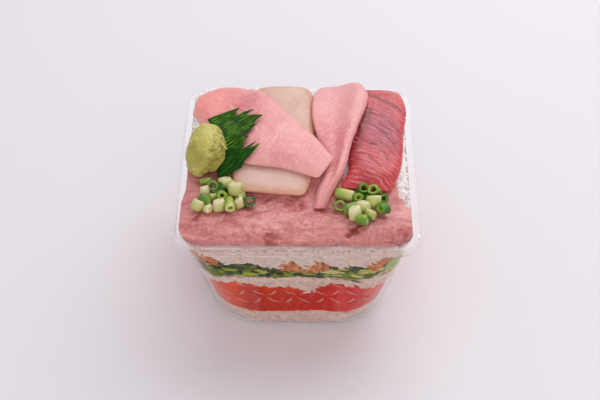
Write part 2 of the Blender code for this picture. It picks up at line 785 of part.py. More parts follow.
def soft_ribs(u, v):
    return 1.0 + 0.10 * sin(9 * u + 4 * v)


# Grass-shaped divider of green film

LEAF_BASE = ((-46.3, 19.7), (-43.5, 15.0), (-41.2, 10.0), (-39.6, 4.0), (-38.8, -2.0), (-38.7, -6.5),
             (-38.9, -9.5), (-39.1, -11.5), (-39.3, -13.2), (-39.4, -15.0), (-39.5, -16.8), (-39.4, -18.6))
LEAF_NOTCHES = ((-39.8, 22.2), (-32.2, 21.0), (-26.4, 17.7), (-23.8, 10.6), (-26.7, 2.5), (-28.5, -3.3),
                (-27.8, -6.4), (-24.1, -7.3), (-24.2, -11.4), (-27.9, -14.3), (-33.1, -16.4), (-37.8, -18.9))
LEAF_TIPS = ((-30.1, 26.7), (-22.5, 21.2), (-17.9, 15.7), (-21.2, 9.3), (-24.4, 1.4), (-25.2, -2.6),
             (-20.8, -2.4), (-18.7, -4.5))
LEAF_THICK = 0.4
LEAF_ROWS = 2
LEAF_REACH = 2.0
LEAF_LIFT = 0.2
LEAF_RIPPLE = 0.7
LEAF_RIPPLES_PER_MM = 1.9 / (2 * pi)
LEAF_SLANT = radians(29)


def leaf_divider():
    """A body of film with long pointed teeth along its right side, rippled along the teeth."""
    steps = 2 * len(LEAF_NOTCHES) - 2
    base, valley = with_midpoints(LEAF_BASE), with_midpoints(LEAF_NOTCHES)
    plan, triangles = [], []
    for left, right in zip(base, valley):
        plan += [tuple(left.lerp(right, j / LEAF_ROWS)) for j in range(LEAF_ROWS + 1)]
    row = LEAF_ROWS + 1
    for i in range(steps):
        for j in range(LEAF_ROWS):
            a = i * row + j
            triangles += [(a, a + row + 1, a + row), (a, a + 1, a + row + 1)]
    for tooth, place in enumerate(LEAF_TIPS):
        low, middle, high = ((2 * tooth + n) * row + LEAF_ROWS for n in range(3))
        tip = Vector(place)
        number = len(plan)
        plan += [tuple(valley[2 * tooth + n].lerp(tip, 0.5)) for n in (0, 2)] + [place]
        triangles += [(low, middle, number), (middle, high, number + 1), (middle, number + 1, number),
                      (number, number + 1, number + 2)]
    triangles = [face if turns_left(plan, face) else face[::-1] for face in triangles]
    under = [clear_height(x, y, LEAF_REACH) + LEAF_LIFT for x, y in plan]
    under = settle(under, SETTLE_PASSES, near_each(len(plan), triangles))
    under = [z + LEAF_RIPPLE * (1 + ridge(x, y)) for z, (x, y) in zip(under, plan)]
    bm = slab(plan, triangles, under, [LEAF_THICK] * len(plan), 0.0)
    finish("leaf_divider", bm, material("leaf_film", (0.03, 0.14, 0.02), 0.4))


def with_midpoints(places):
    """The places of a line, each followed by the middle of the way to the next."""
    points = [Vector(place) for place in places]
    halved = []
    for first, second in zip(points, points[1:]):
        halved += [first, first.lerp(second, 0.5)]
    return halved + points[-1:]


def ridge(x, y):
    """Ridges that run along the teeth, from -1 to 1."""
    across = x * sin(LEAF_SLANT) - y * cos(LEAF_SLANT)
    return sin(2 * pi * LEAF_RIPPLES_PER_MM * across)


def turns_left(plan, face):
    a, b, c = (Vector(plan[k]) for k in face)
    return (b - a).cross(c - a) > 0


# Wasabi: a hand-pressed lump with a crumbly lower front

WASABI_CENTRE = (-44.9, -3.9, 84.4)
WASABI_HALF = (10.0, 13.0, 12.0)
WASABI_TAPER = 0.16
WASABI_SQUARE = 3.0
WASABI_SWELL = 0.05
WASABI_CRUMBS = 0.055
WASABI_REACH = 3.0
WASABI_THICK = 4.5


def wasabi():
    """A squarish lump whose underside is lifted by what it leans on, and never thinner than its rim."""
    bm = bmesh.new()
    bmesh.ops.create_icosphere(bm, subdivisions=3, radius=1.0)
    ways = [vert.co.copy() for vert in bm.verts]
    for vert, way in zip(bm.verts, ways):
        above = smooth_step(0.0, 0.35, way.z)
        boxy = max(above, smooth_step(0.1, -0.3, way.x), smooth_step(-0.5, -0.9, way.y))
        square = sum(abs(w) ** WASABI_SQUARE for w in way) ** (-1 / WASABI_SQUARE)
        crumbs = WASABI_CRUMBS * ripple(*(way * 10), 1.9) * smooth_step(0.6, -0.6, way.z + way.y)
        swell = 1 + boxy * (square - 1) + above * (WASABI_SWELL * ripple(*(way * 10), 7) + crumbs)
        x, y, z = (c + h * w * swell for c, h, w in zip(WASABI_CENTRE, WASABI_HALF, way))
        x -= (x - WASABI_CENTRE[0]) * WASABI_TAPER * (way.y + above * way.z)
        vert.co = (x, y, z)
    bm.verts.index_update()
    under = [clear_height(vert.co.x, vert.co.y, WASABI_REACH) for vert in bm.verts]
    triangles = [[vert.index for vert in face.verts] for face in bm.faces]
    under = settle(under, SETTLE_PASSES, near_each(len(under), triangles))
    for vert, way, low in zip(bm.verts, ways, under):
        vert.co.z = max(vert.co.z, low + WASABI_THICK * max(0.0, way.z))
    finish("wasabi", bm, material("wasabi", (0.50, 0.50, 0.16), 0.7))


# Spring onion: heaps of short cut tubes

TUBE_SIDES = 6
TUBE_RADIUS = 2.6
TUBE_HOLE = 1.25
TUBE_SIZES = (0.8, 1.05)
TUBE_LENGTHS = (3.0, 4.6)
TUBE_TILTS = (radians(15), radians(40), radians(80))
TUBE_SPREAD = 0.86
TUBE_SUNK = 0.9
CORE_SIDES = 12
CORE_SHARES = (0.82, 0.41)
CORE_REACH = 3.6
CORE_EDGE = 0.9
CORE_DOME = 1.8
HEAPS = (("spring_onions_left", (-36.0, -31.5), (14.5, 9.0), 10, 5),
         ("spring_onions_right", (31.5, -36.0), (12.5, 11.0), 10, 8))


def onion_tube(place, turn, radius, length):
    """A short piece of stalk, open right through."""
    bm = bmesh.new()
    rings = []
    for height, size in ((-0.5, radius), (0.5, radius), (0.5, TUBE_HOLE), (-0.5, TUBE_HOLE)):
        ring = []
        for n in range(TUBE_SIDES):
            angle = 2 * pi * n / TUBE_SIDES
            ring.append(bm.verts.new((cos(angle) * size, sin(angle) * size, height * length)))
        rings.append(ring)
    for k in range(4):
        band(bm, rings[k], rings[(k + 1) % 4])
    bmesh.ops.transform(bm, matrix=Matrix.Translation(place) @ turn.to_matrix().to_4x4(), verts=bm.verts)
    return bm


def onion_core(centre, half):
    """A low mound that carries the tubes."""
    bm = bmesh.new()
    lower, upper = [], []
    for share in CORE_SHARES:
        thick = CORE_EDGE + CORE_DOME * (1 - (share / CORE_SHARES[0]) ** 2)
        low, high = [], []
        for n in range(CORE_SIDES):
            angle = 2 * pi * n / CORE_SIDES
            x = centre[0] + cos(angle) * half[0] * share
            y = centre[1] + sin(angle) * half[1] * share
            rest = clear_height(x, y, CORE_REACH)
            low.append(bm.verts.new((x, y, rest)))
            high.append(bm.verts.new((x, y, rest + thick)))
        lower.append(low)
        upper.append(high)
    for group in (lower, upper):
        for outer, inner in zip(group, group[1:]):
            band(bm, outer, inner)
        mean = sum((v.co for v in group[-1]), Vector()) / CORE_SIDES
        cap(bm, group[-1], mean)
    band(bm, lower[0], upper[0])
    return bm


def onion_heap(name, centre, half, count, seed):
    """Tubes set by the golden angle, so that they cover the mound evenly."""
    draw = Random(seed)
    core = onion_core(centre, half)
    shape = BVHTree.FromBMesh(core)
    tubes = []
    for n in range(count):
        spread = sqrt((n + 0.5) / count) * TUBE_SPREAD
        angle = n * pi * (3 - sqrt(5)) + draw.uniform(-0.2, 0.2)
        x = centre[0] + half[0] * spread * cos(angle)
        y = centre[1] + half[1] * spread * sin(angle)
        radius = TUBE_RADIUS * draw.uniform(*TUBE_SIZES)
        length = draw.uniform(*TUBE_LENGTHS)
        tilt = draw.choice(TUBE_TILTS)
        turn = Euler((tilt, draw.uniform(-0.3, 0.3), draw.uniform(0, 2 * pi)))
        upright = abs((turn.to_matrix() @ Vector((0, 0, 1))).z)
        tall = upright * length / 2 + sqrt(1 - upright * upright) * radius
        hit = shape.ray_cast(Vector((x, y, HIGH_UP)), Vector((0, 0, -1)))[0]
        base = hit.z if hit else clear_height(x, y, radius / 2) + TUBE_SUNK
        floor = clear_height(x, y, radius)
        z = max(base - TUBE_SUNK, floor) + tall
        tubes.append(onion_tube(Vector((x, y, z)), turn, radius, length))
    fuse(name, core, tubes, material(name, (0.50, 0.66, 0.22), 0.45))


def main():
    for old in list(bpy.data.objects):
        bpy.data.objects.remove(old)
    tub()
    rice_bottom()
    fish_layer()
    fillings()
    minced_tuna()
    slices()
    leaf_divider()
    wasabi()
    for heap in HEAPS:
        onion_heap(*heap)


main()
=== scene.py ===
"""The looks of a tub of layered sushi: clear plastic, rice, fish, greens and toppings.

Sizes are in millimetres, and MM turns them into metres when a piece is finished. The origin is in the
middle of the tub's underside, +X is to the right of the front wall and +Y points to the back.
"""

from math import cos, exp, hypot, pi, radians, sin, sqrt
from random import Random

import bmesh
import bpy
import numpy as np
from mathutils import Euler, Matrix, Vector, noise
from mathutils.bvhtree import BVHTree
from mathutils.kdtree import KDTree


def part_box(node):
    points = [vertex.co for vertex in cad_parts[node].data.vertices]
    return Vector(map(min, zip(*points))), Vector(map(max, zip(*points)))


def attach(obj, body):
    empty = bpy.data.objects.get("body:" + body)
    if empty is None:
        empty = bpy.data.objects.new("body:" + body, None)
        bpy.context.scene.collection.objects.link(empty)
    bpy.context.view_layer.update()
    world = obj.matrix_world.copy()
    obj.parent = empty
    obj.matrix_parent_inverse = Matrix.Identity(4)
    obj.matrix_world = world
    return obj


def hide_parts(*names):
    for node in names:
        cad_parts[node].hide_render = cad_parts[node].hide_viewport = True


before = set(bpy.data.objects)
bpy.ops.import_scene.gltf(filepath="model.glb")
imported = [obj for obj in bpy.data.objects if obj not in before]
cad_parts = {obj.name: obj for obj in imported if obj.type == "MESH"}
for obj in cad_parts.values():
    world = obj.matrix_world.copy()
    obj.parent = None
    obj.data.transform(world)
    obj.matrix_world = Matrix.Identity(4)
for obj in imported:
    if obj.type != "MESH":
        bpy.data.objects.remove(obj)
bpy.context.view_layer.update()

MM = 0.001

# The tub, as the frame has it
TUB_HEIGHT = 72.0
BASE_HALF = 46.0
BASE_CORNER = 28.0
OPENING_HALF = 54.7
OPENING_CORNER = 8.0
WALL = 0.6
FOOT_ROUND = 5.0
RIM_WIDTH = 4.1
LIP_DROP = 3.4
LIP_FLARE = 1.2
FOOD_INSET = 0.9
TOUCH_INSET = 0.45
CORNER_ROOM = 1.6
SIDE_STEPS = 36
CORNER_STEPS = 24
TUB_AROUND = 4 * (SIDE_STEPS + CORNER_STEPS)

# The faces between the layers at the wall, as the frame has them: x, y, rise, spread
FISH_FLOOR = 12.8
FISH_TOP = 35.5
GREENS_FLOOR = 43.5
GREENS_TOP = 51.5
RICE_TOP_FRONT = 66.2
RICE_TOP_RISE = 5.6
FLAKE_LIMIT = 64.6
FISH_SPLIT_X = 9.0
FISH_FLOOR_LUMPS = ((29, -48, -3.6, 7), (10, -48, 1.4, 7))
FISH_TOP_LUMPS = ((-30, -50, 3.0, 12), (4, -50, -5.5, 4.5), (17, -50, 2.5, 6), (40, -48, -3.0, 8))
GREENS_FLOOR_LUMPS = ((-46, -46, 3.0, 8), (29, -51, -5.5, 5), (45, -48, 3.0, 6))
GREENS_TOP_LUMPS = ((-46, -48, 6.0, 8), (-28, -52, 4.0, 9), (4, -52, -3.0, 11), (27, -52, 2.5, 6))
FLAKE_SPOTS = ((-47, -49, 9.0), (-3, -52, 5.4), (10, -52, 5.4), (41, -51, 6.0), (-52, -12, 6.5),
               (-51, 27, 6.0), (-20, 52, 7.0), (24, 52, 6.0), (52, 22, 6.5), (52, -20, 6.0))
FLAKE_DEPTH = 9.0


# Plain measures

def smooth_step(low, high, value):
    share = min(1.0, max(0.0, (value - low) / (high - low)))
    return share * share * (3 - 2 * share)


def lump(x, y, place_x, place_y, spread):
    return exp(-((x - place_x) ** 2 + (y - place_y) ** 2) / spread ** 2)


def ripple(x, y, z, size):
    return noise.noise(Vector((x, y, z)) / size)


def lumps_at(x, y, lumps):
    return sum(rise * lump(x, y, px, py, spread) for px, py, rise, spread in lumps)


def wall_size(z, inset):
    """Half width and corner radius at a height, so far inside the tub's outer face."""
    rise = z / TUB_HEIGHT
    half = BASE_HALF + (OPENING_HALF + WALL - BASE_HALF) * rise - inset
    corner = BASE_CORNER + (OPENING_CORNER + WALL - BASE_CORNER) * rise - inset
    if z < FOOT_ROUND:
        radius = FOOT_ROUND - inset
        foot = radius - sqrt(max(0.0, radius ** 2 - (FOOT_ROUND - z) ** 2))
        half -= foot
        corner -= foot
    return half, max(0.5, corner)


def square_point(turn, half, corner):
    """A place on a square with round corners. Turn runs from 0 to 4 from the right side's front end."""
    quarter = int(turn) % 4
    straight = half - corner
    run = (turn - int(turn)) * (2 * straight + corner * pi / 2)
    if run < 2 * straight:
        x, y = half, run - straight
    else:
        angle = (run - 2 * straight) / corner
        x, y = straight + corner * cos(angle), straight + corner * sin(angle)
    for _ in range(quarter):
        x, y = -y, x
    return x, y


def outline_point(index, half, corner):
    """A point of an outline whose sides and corners have the same steps at every height."""
    quarter, step = divmod(index % TUB_AROUND, SIDE_STEPS + CORNER_STEPS)
    straight = half - corner
    if step < SIDE_STEPS:
        x, y = half, straight * (2 * step / SIDE_STEPS - 1)
    else:
        angle = (step - SIDE_STEPS) / CORNER_STEPS * pi / 2
        x, y = straight + corner * cos(angle), straight + corner * sin(angle)
    for _ in range(quarter):
        x, y = -y, x
    return x, y


def wall_point(turn, z, inset):
    x, y = square_point(turn, *wall_size(z, inset))
    return Vector((x, y, z))


def quarter_length(z):
    """Length of one side with one corner, which a turn of 1 covers."""
    half, corner = wall_size(z, WALL)
    return 2 * (half - corner) + corner * pi / 2


def front_turn(x, z):
    """The turn at a place on the front wall."""
    half, corner = wall_size(z, WALL)
    return 3 + (x + half - corner) / quarter_length(z)


def wall_side(x, y, z, inset):
    """Distance inside the wall's face at that inset, and the way out to it."""
    half, corner = wall_size(z, inset)
    over_x, over_y = abs(x) - (half - corner), abs(y) - (half - corner)
    if over_x > 0 and over_y > 0:
        reach = hypot(over_x, over_y)
        way = Vector((over_x / reach, over_y / reach, 0))
    elif over_x > over_y:
        reach, way = over_x, Vector((1, 0, 0))
    else:
        reach, way = over_y, Vector((0, 1, 0))
    if x < 0:
        way.x = -way.x
    if y < 0:
        way.y = -way.y
    return corner - reach, way


def corner_room(x, y, z):
    """How far the food stands back from the wall low in the tub's round corners."""
    diagonal = min(abs(x), abs(y)) / max(abs(x), abs(y), 1.0)
    return CORNER_ROOM * smooth_step(0.35, 0.7, diagonal) * smooth_step(42, 30, z)


# Heights of the layers' faces at the wall

def fish_floor(x, y):
    return FISH_FLOOR + 1.0 * ripple(x, y, 3, 17) + lumps_at(x, y, FISH_FLOOR_LUMPS)


def fish_top(x, y):
    return FISH_TOP + 1.8 * ripple(x, y, 40, 14) + lumps_at(x, y, FISH_TOP_LUMPS)


def greens_floor(x, y):
    return GREENS_FLOOR + 1.2 * ripple(x, y, 80, 12) + lumps_at(x, y, GREENS_FLOOR_LUMPS)


def greens_top(x, y):
    return GREENS_TOP + 1.5 * ripple(x, y, 120, 10) + lumps_at(x, y, GREENS_TOP_LUMPS)


def flake_spot(x, y):
    return max(lump(x, y, px, py, spread) for px, py, spread in FLAKE_SPOTS)


def flake_top(x, y):
    spot = flake_spot(x, y)
    return min(FLAKE_LIMIT, greens_top(x, y) + (FLAKE_DEPTH * spot if spot > 0.2 else 0.0))


def rice_top(x, y):
    return RICE_TOP_FRONT + RICE_TOP_RISE * smooth_step(-38, -6, y)


# Making pieces

def mesh_of(node):
    """The frame's own solid in millimetres, merged and with its quads back."""
    bm = bmesh.new()
    bm.from_mesh(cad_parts[node].data)
    bmesh.ops.scale(bm, vec=(1 / MM, 1 / MM, 1 / MM), verts=bm.verts)
    bmesh.ops.remove_doubles(bm, verts=bm.verts, dist=0.01)
    bmesh.ops.join_triangles(bm, faces=bm.faces, angle_face_threshold=radians(60),
                             angle_shape_threshold=radians(60))
    return bm


def rounded(bm, levels, hold=0.0):
    """The same shape with so many levels of subdivision surface, its sharp edges held in place."""
    crease = bm.edges.layers.float.new("crease_edge")
    for edge in bm.edges:
        if edge.calc_face_angle(0.0) > radians(35):
            edge[crease] = hold
    mesh = bpy.data.meshes.new("rounding")
    bm.to_mesh(mesh)
    bm.free()
    body = bpy.data.objects.new("rounding", mesh)
    bpy.context.scene.collection.objects.link(body)
    step = body.modifiers.new("round", "SUBSURF")
    step.levels = levels
    step.render_levels = levels
    smooth = bmesh.new()
    smooth.from_object(body, bpy.context.evaluated_depsgraph_get())
    bpy.data.objects.remove(body)
    return smooth


def shift_along_normals(bm, amount):
    """Moves each point in or out by what the rule says for its place."""
    bm.normal_update()
    moves = [(vert, vert.normal * amount(vert.co, vert.normal)) for vert in bm.verts]
    for vert, move in moves:
        vert.co += move


def give_values(bm, name, rule):
    """Gives every point a value from 0 to 1 by a rule of its place."""
    layer = bm.verts.layers.float.new(name)
    for vert in bm.verts:
        vert[layer] = min(1.0, max(0.0, rule(*vert.co)))


def press_to_wall(bm, depth=1.6, dents=0.0, below=TUB_HEIGHT - 1.5):
    """Points near the wall go out until they just reach into it."""
    for vert in bm.verts:
        if vert.co.z > below:
            continue
        inside, way = wall_side(vert.co.x, vert.co.y, vert.co.z, TOUCH_INSET)
        if inside < depth:
            dent = dents * max(0.0, ripple(*vert.co, 3.0)) + corner_room(*vert.co)
            vert.co += way * (inside - dent)


def finish(name, mesh, paint, nodes, slot):
    """Gives a piece its material and its place in the frame."""
    mesh.materials.clear()
    mesh.materials.append(paint)
    mesh.shade_smooth()
    piece = bpy.data.objects.new(name, mesh)
    bpy.context.scene.collection.objects.link(piece)
    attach(piece, "root")
    if nodes:
        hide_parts(*nodes)
    return piece


def piece_from(name, bm, paint, nodes, slot):
    bmesh.ops.scale(bm, vec=(MM, MM, MM), verts=bm.verts)
    mesh = bpy.data.meshes.new(name)
    bm.to_mesh(mesh)
    bm.free()
    return finish(name, mesh, paint, nodes, slot)


def wrapped(columns, rows, place):
    """A grid bent into a shape: place gives each point from its two shares, 0 to 1."""
    bm = bmesh.new()
    bmesh.ops.create_grid(bm, x_segments=columns, y_segments=rows, size=0.5)
    for vert in bm.verts:
        vert.co = place(vert.co.x + 0.5, vert.co.y + 0.5)
    bmesh.ops.remove_doubles(bm, verts=bm.verts, dist=1e-4)
    bmesh.ops.recalc_face_normals(bm, faces=bm.faces)
    return bm


class Scatter:
    """Many copies of a few small shapes, joined in one mesh with a tone for each copy."""

    def __init__(self):
        self.points, self.faces, self.tones, self.count = [], [], [], 0

    def add(self, shape, spots, tone, mirrored=False):
        points, faces = shape
        self.points.append(spots)
        self.faces.append((faces[:, ::-1] if mirrored else faces) + self.count)
        self.tones.append(np.broadcast_to(tone, len(points)))
        self.count += len(points)

    def piece(self, name, paint, nodes, slot):
        points = np.concatenate(self.points) * MM
        mesh = bpy.data.meshes.new(name)
        mesh.from_pydata(points.tolist(), [], np.concatenate(self.faces).tolist())
        tone = mesh.attributes.new("tone", "FLOAT", "POINT")
        tone.data.foreach_set("value", np.concatenate(self.tones).astype(np.float32))
        return finish(name, mesh, paint, nodes, slot)


def arrays(bm):
    bmesh.ops.triangulate(bm, faces=bm.faces)
    points = np.array([v.co[:] for v in bm.verts])
    faces = np.array([[v.index for v in f.verts] for f in bm.faces])
    bm.free()
    return points, faces


def on_wall(points, turn, z, tilt, inset, least=TOUCH_INSET):
    """Bends a flat shape onto the wall, where it comes out mirrored, and flat where it touches.

    The shape has x along the wall, y up and z inward.
    """
    c, s = cos(tilt), sin(tilt)
    along = points[:, 0] * c - points[:, 1] * s
    height = points[:, 0] * s + points[:, 1] * c
    length = quarter_length(z)
    return np.array([wall_point((turn + a / length) % 4, z + h, max(least, inset + d))[:]
                     for a, h, d in zip(along, height, points[:, 2])])


def laid_flat(points, place, turn):
    return points @ np.array(turn.to_matrix()).T + np.array(place[:])


# Materials

FINE_BUMP = 0.0003
FISH_BUMP = 0.0004
CRUMB_BUMP = 0.0005
PLASTIC_COLOUR = (0.995, 0.995, 1.0, 1)
PLASTIC_IOR = 1.28
LIGHT_THROUGH = 0.97
PETAL_SHOW = 0.28


def tint(code):
    """A colour as the shaders take it, from its usual six digits."""
    values = [int(code[i:i + 2], 16) / 255 for i in (0, 2, 4)]
    return tuple(v / 12.92 if v <= 0.04045 else ((v + 0.055) / 1.055) ** 2.4 for v in values) + (1.0,)


def add(tree, kind, settings=None, **inputs):
    """A node with its settings, and values or links for its inputs."""
    node = tree.nodes.new("ShaderNode" + kind)
    for key, value in (settings or {}).items():
        setattr(node, key, value)
    for key, value in inputs.items():
        socket = node.inputs[int(key[1:])] if key[0] == "_" else node.inputs[key.replace("_", " ")]
        if isinstance(value, bpy.types.NodeSocket):
            tree.links.new(value, socket)
        else:
            socket.default_value = value
    return node


def calculate(tree, operation, *values):
    """The result of a math node on values or links."""
    inputs = {f"_{place}": value for place, value in enumerate(values)}
    return add(tree, "Math", {"operation": operation}, **inputs).outputs[0]


def point_value(tree, name):
    """The value of that name that the piece's points carry."""
    return add(tree, "Attribute", {"attribute_name": name}).outputs["Fac"]


def ramp(tree, factor, stops):
    """A colour ramp from (place, colour) stops."""
    node = add(tree, "ValToRGB", Fac=factor)
    band = node.color_ramp
    while len(band.elements) < len(stops):
        band.elements.new(0.5)
    for element, (place, colour) in zip(band.elements, stops):
        element.position = place
        element.color = tint(colour)
    return node.outputs["Color"]


def grey(tree, factor, low, high):
    """Stretches a value so that low becomes 0 and high becomes 1."""
    node = add(tree, "MapRange", {"clamp": True}, Value=factor, From_Min=low, From_Max=high)
    return node.outputs["Result"]


def blend(tree, factor, first, second, way="MIX"):
    node = tree.nodes.new("ShaderNodeMix")
    node.data_type = "RGBA"
    node.blend_type = way
    for socket, value in ((node.inputs[0], factor), (node.inputs[6], first), (node.inputs[7], second)):
        if isinstance(value, bpy.types.NodeSocket):
            tree.links.new(value, socket)
        else:
            socket.default_value = value
    return node.outputs[2]


def group(name, inputs, outputs):
    """An empty node group with the named sockets."""
    tree = bpy.data.node_groups.new(name, "ShaderNodeTree")
    for label, kind, value in inputs:
        socket = tree.interface.new_socket(label, in_out="INPUT", socket_type=kind)
        if value is not None:
            socket.default_value = value
    for label, kind in outputs:
        tree.interface.new_socket(label, in_out="OUTPUT", socket_type=kind)
    ends = tree.nodes.new("NodeGroupInput"), tree.nodes.new("NodeGroupOutput")
    return tree, ends[0].outputs, ends[1].inputs


def flesh_group():
    """Marbling for fish: broad patches, fine grain and thin pale sinews across a direction."""
    tree, given, out = group(
        "flesh", [("Vector", "NodeSocketVector", None), ("Patch", "NodeSocketFloat", 60.0),
                  ("Lines", "NodeSocketFloat", 120.0), ("Bend", "NodeSocketFloat", 4.0),
                  ("Thin", "NodeSocketFloat", 0.75)],
        [("Patches", "NodeSocketFloat"), ("Sinews", "NodeSocketFloat"), ("Grain", "NodeSocketFloat")])
    patches = add(tree, "TexNoise", Vector=given["Vector"], Scale=given["Patch"], Detail=3.0)
    wave = add(tree, "TexWave", {"bands_direction": "X"}, Vector=given["Vector"], Scale=given["Lines"],
               Distortion=given["Bend"], Detail=3.0, Detail_Scale=0.6)
    broken = add(tree, "TexNoise", Vector=given["Vector"], Scale=220.0, Detail=2.0)
    lines = grey(tree, calculate(tree, "SUBTRACT", wave.outputs["Fac"], given["Thin"]), 0.0, 0.22)
    torn = grey(tree, broken.outputs["Fac"], 0.42, 0.62)
    fine = add(tree, "TexNoise", Vector=given["Vector"], Scale=900.0, Detail=4.0)
    tree.links.new(patches.outputs["Fac"], out["Patches"])
    tree.links.new(calculate(tree, "MULTIPLY", lines, torn), out["Sinews"])
    tree.links.new(fine.outputs["Fac"], out["Grain"])
    return tree


def crumb_group():
    """Small crumbs and pits, for bump and for colour."""
    tree, given, out = group(
        "crumbs", [("Vector", "NodeSocketVector", None), ("Size", "NodeSocketFloat", 500.0)],
        [("Height", "NodeSocketFloat"), ("Patches", "NodeSocketFloat")])
    cells = add(tree, "TexVoronoi", Vector=given["Vector"], Scale=given["Size"])
    rough = add(tree, "TexNoise", Vector=given["Vector"], Scale=given["Size"], Detail=5.0)
    both = calculate(tree, "MULTIPLY_ADD", cells.outputs["Distance"], 0.6, rough.outputs["Fac"])
    broad = add(tree, "TexNoise", Vector=given["Vector"], Scale=110.0, Detail=3.0)
    tree.links.new(both, out["Height"])
    tree.links.new(broad.outputs["Fac"], out["Patches"])
    return tree


FLESH = flesh_group()
CRUMBS = crumb_group()


def new_material(name, rough, coat=0.0, under=0.0, radius=(1.0, 0.3, 0.2), sheen=0.5, deep=0.003):
    """A material with a plain Principled shader: gloss, coat and light that spreads under the skin."""
    paint = bpy.data.materials.new(name)
    paint.use_nodes = True
    tree = paint.node_tree
    shader = tree.nodes["Principled BSDF"]
    shader.inputs["Roughness"].default_value = rough
    shader.inputs["Coat Weight"].default_value = coat
    shader.inputs["Coat Roughness"].default_value = 0.12
    shader.inputs["Specular IOR Level"].default_value = sheen
    if under:
        shader.subsurface_method = "RANDOM_WALK"
        shader.inputs["Subsurface Weight"].default_value = under
        shader.inputs["Subsurface Radius"].default_value = radius
        shader.inputs["Subsurface Scale"].default_value = deep
    return paint, tree, shader


def placed_group(tree, kind, turn=(0.0, 0.0, 0.0), stretch=(1.0, 1.0, 1.0), **values):
    """A shared group that reads the piece's own coordinates, turned and stretched."""
    coordinates = tree.nodes.new("ShaderNodeTexCoord").outputs["Object"]
    mapping = add(tree, "Mapping", Vector=coordinates, Rotation=turn, Scale=stretch)
    node = tree.nodes.new("ShaderNodeGroup")
    node.node_tree = kind
    tree.links.new(mapping.outputs[0], node.inputs["Vector"])
    for key, value in values.items():
        node.inputs[key].default_value = value
    return node.outputs


def bump(tree, shader, height, strength, distance):
    node = add(tree, "Bump", Height=height, Strength=strength, Distance=distance)
    tree.links.new(node.outputs["Normal"], shader.inputs["Normal"])


def fish_material(name, deep, mid, pale, sinew, turn, rough=0.32, lines=120.0, bend=4.0, thin=0.75,
                  strength=0.6, coat=0.35, patch=60.0, show=0.55, fleck=0.0, marks=(), sheen=0.5):
    """Marbled fish whose sinews run across one direction. Marks are colours that a point value lays on."""
    paint, tree, shader = new_material(name, rough, coat=coat, under=0.35, sheen=sheen)
    flesh = placed_group(tree, FLESH, (0, 0, turn), Lines=lines, Bend=bend, Thin=thin, Patch=patch)
    base = ramp(tree, flesh["Patches"], ((0.3, deep), (0.5, mid), (0.7, pale)))
    if fleck:
        spots = calculate(tree, "MULTIPLY", grey(tree, flesh["Grain"], 0.42, 0.68), fleck)
        base = blend(tree, spots, base, tint(sinew))
    for mark, colour, most in marks:
        share = calculate(tree, "MULTIPLY", point_value(tree, mark), most)
        base = blend(tree, share, base, tint(colour))
    amount = calculate(tree, "MULTIPLY", flesh["Sinews"], show)
    tree.links.new(blend(tree, amount, base, tint(sinew)), shader.inputs["Base Color"])
    height = calculate(tree, "MULTIPLY_ADD", flesh["Sinews"], 0.5, flesh["Grain"])
    bump(tree, shader, height, strength, FISH_BUMP)
    return paint


def toned_material(name, stops, rough, under=0.3, coat=0.0, radius=(1.0, 0.6, 0.3), size=700.0,
                   strength=0.3, vary=0.25, deep=0.001, sheen=0.1):
    """For scattered pieces: each one's own tone picks its colour, varied a little over the piece."""
    paint, tree, shader = new_material(name, rough, coat, under, radius, sheen, deep)
    crumbs = placed_group(tree, CRUMBS, Size=size)
    raised = calculate(tree, "MULTIPLY_ADD", crumbs["Patches"], vary, point_value(tree, "tone"))
    tone = calculate(tree, "SUBTRACT", raised, vary / 2)
    tree.links.new(ramp(tree, tone, stops), shader.inputs["Base Color"])
    bump(tree, shader, crumbs["Height"], strength, FINE_BUMP)
    return paint


def plastic_material():
    """Clear plastic that lets light through to what it holds."""
    paint, tree, shader = new_material("clear_plastic", 0.03)
    shader.inputs["Base Color"].default_value = PLASTIC_COLOUR
    shader.inputs["Transmission Weight"].default_value = 1.0
    shader.inputs["IOR"].default_value = PLASTIC_IOR
    path = tree.nodes.new("ShaderNodeLightPath").outputs
    passing = calculate(tree, "MAXIMUM", path["Is Shadow Ray"], path["Is Diffuse Ray"])
    seen = calculate(tree, "MULTIPLY_ADD", passing, -LIGHT_THROUGH, 1.0)
    tree.links.new(seen, shader.inputs["Alpha"])
    return paint


def petal_highlight_material():
    paint, _, shader = new_material("painted_petal_highlights", 0.15)
    # Painted highlight: pale pink and half see-through, standing in for the light that the pressed petals
    # catch
    shader.inputs["Base Color"].default_value = tint("F4C0AC")
    shader.inputs["Alpha"].default_value = PETAL_SHOW
    return paint


# The tub

FOOT_STEPS = 6
WALL_HEIGHTS = (6, 14, 24, 36, 48, 60, 68)


def softened(corners):
    """Turns a section of (half, corner, height, rounding) into rings, with flats left flat."""
    rings = []
    for before, here, after in zip([corners[0]] + corners, corners, corners[1:] + [corners[-1]]):
        half, corner, z, radius = here
        if not radius:
            rings.append((half, corner, z))
            continue
        middle = Vector((half, z))
        to_before = (Vector((before[0], before[2])) - middle).normalized()
        to_after = (Vector((after[0], after[2])) - middle).normalized()
        for share in (1.6, 1.0):
            spot = middle + to_before * radius * share
            rings.append((spot.x, corner + spot.x - half, spot.y))
        for t in (0.25, 0.5, 0.75):
            first, last = middle + to_before * radius, middle + to_after * radius
            spot = first.lerp(middle, t).lerp(middle.lerp(last, t), t)
            rings.append((spot.x, corner + spot.x - half, spot.y))
        for share in (1.0, 1.6):
            spot = middle + to_after * radius * share
            rings.append((spot.x, corner + spot.x - half, spot.y))
    return rings


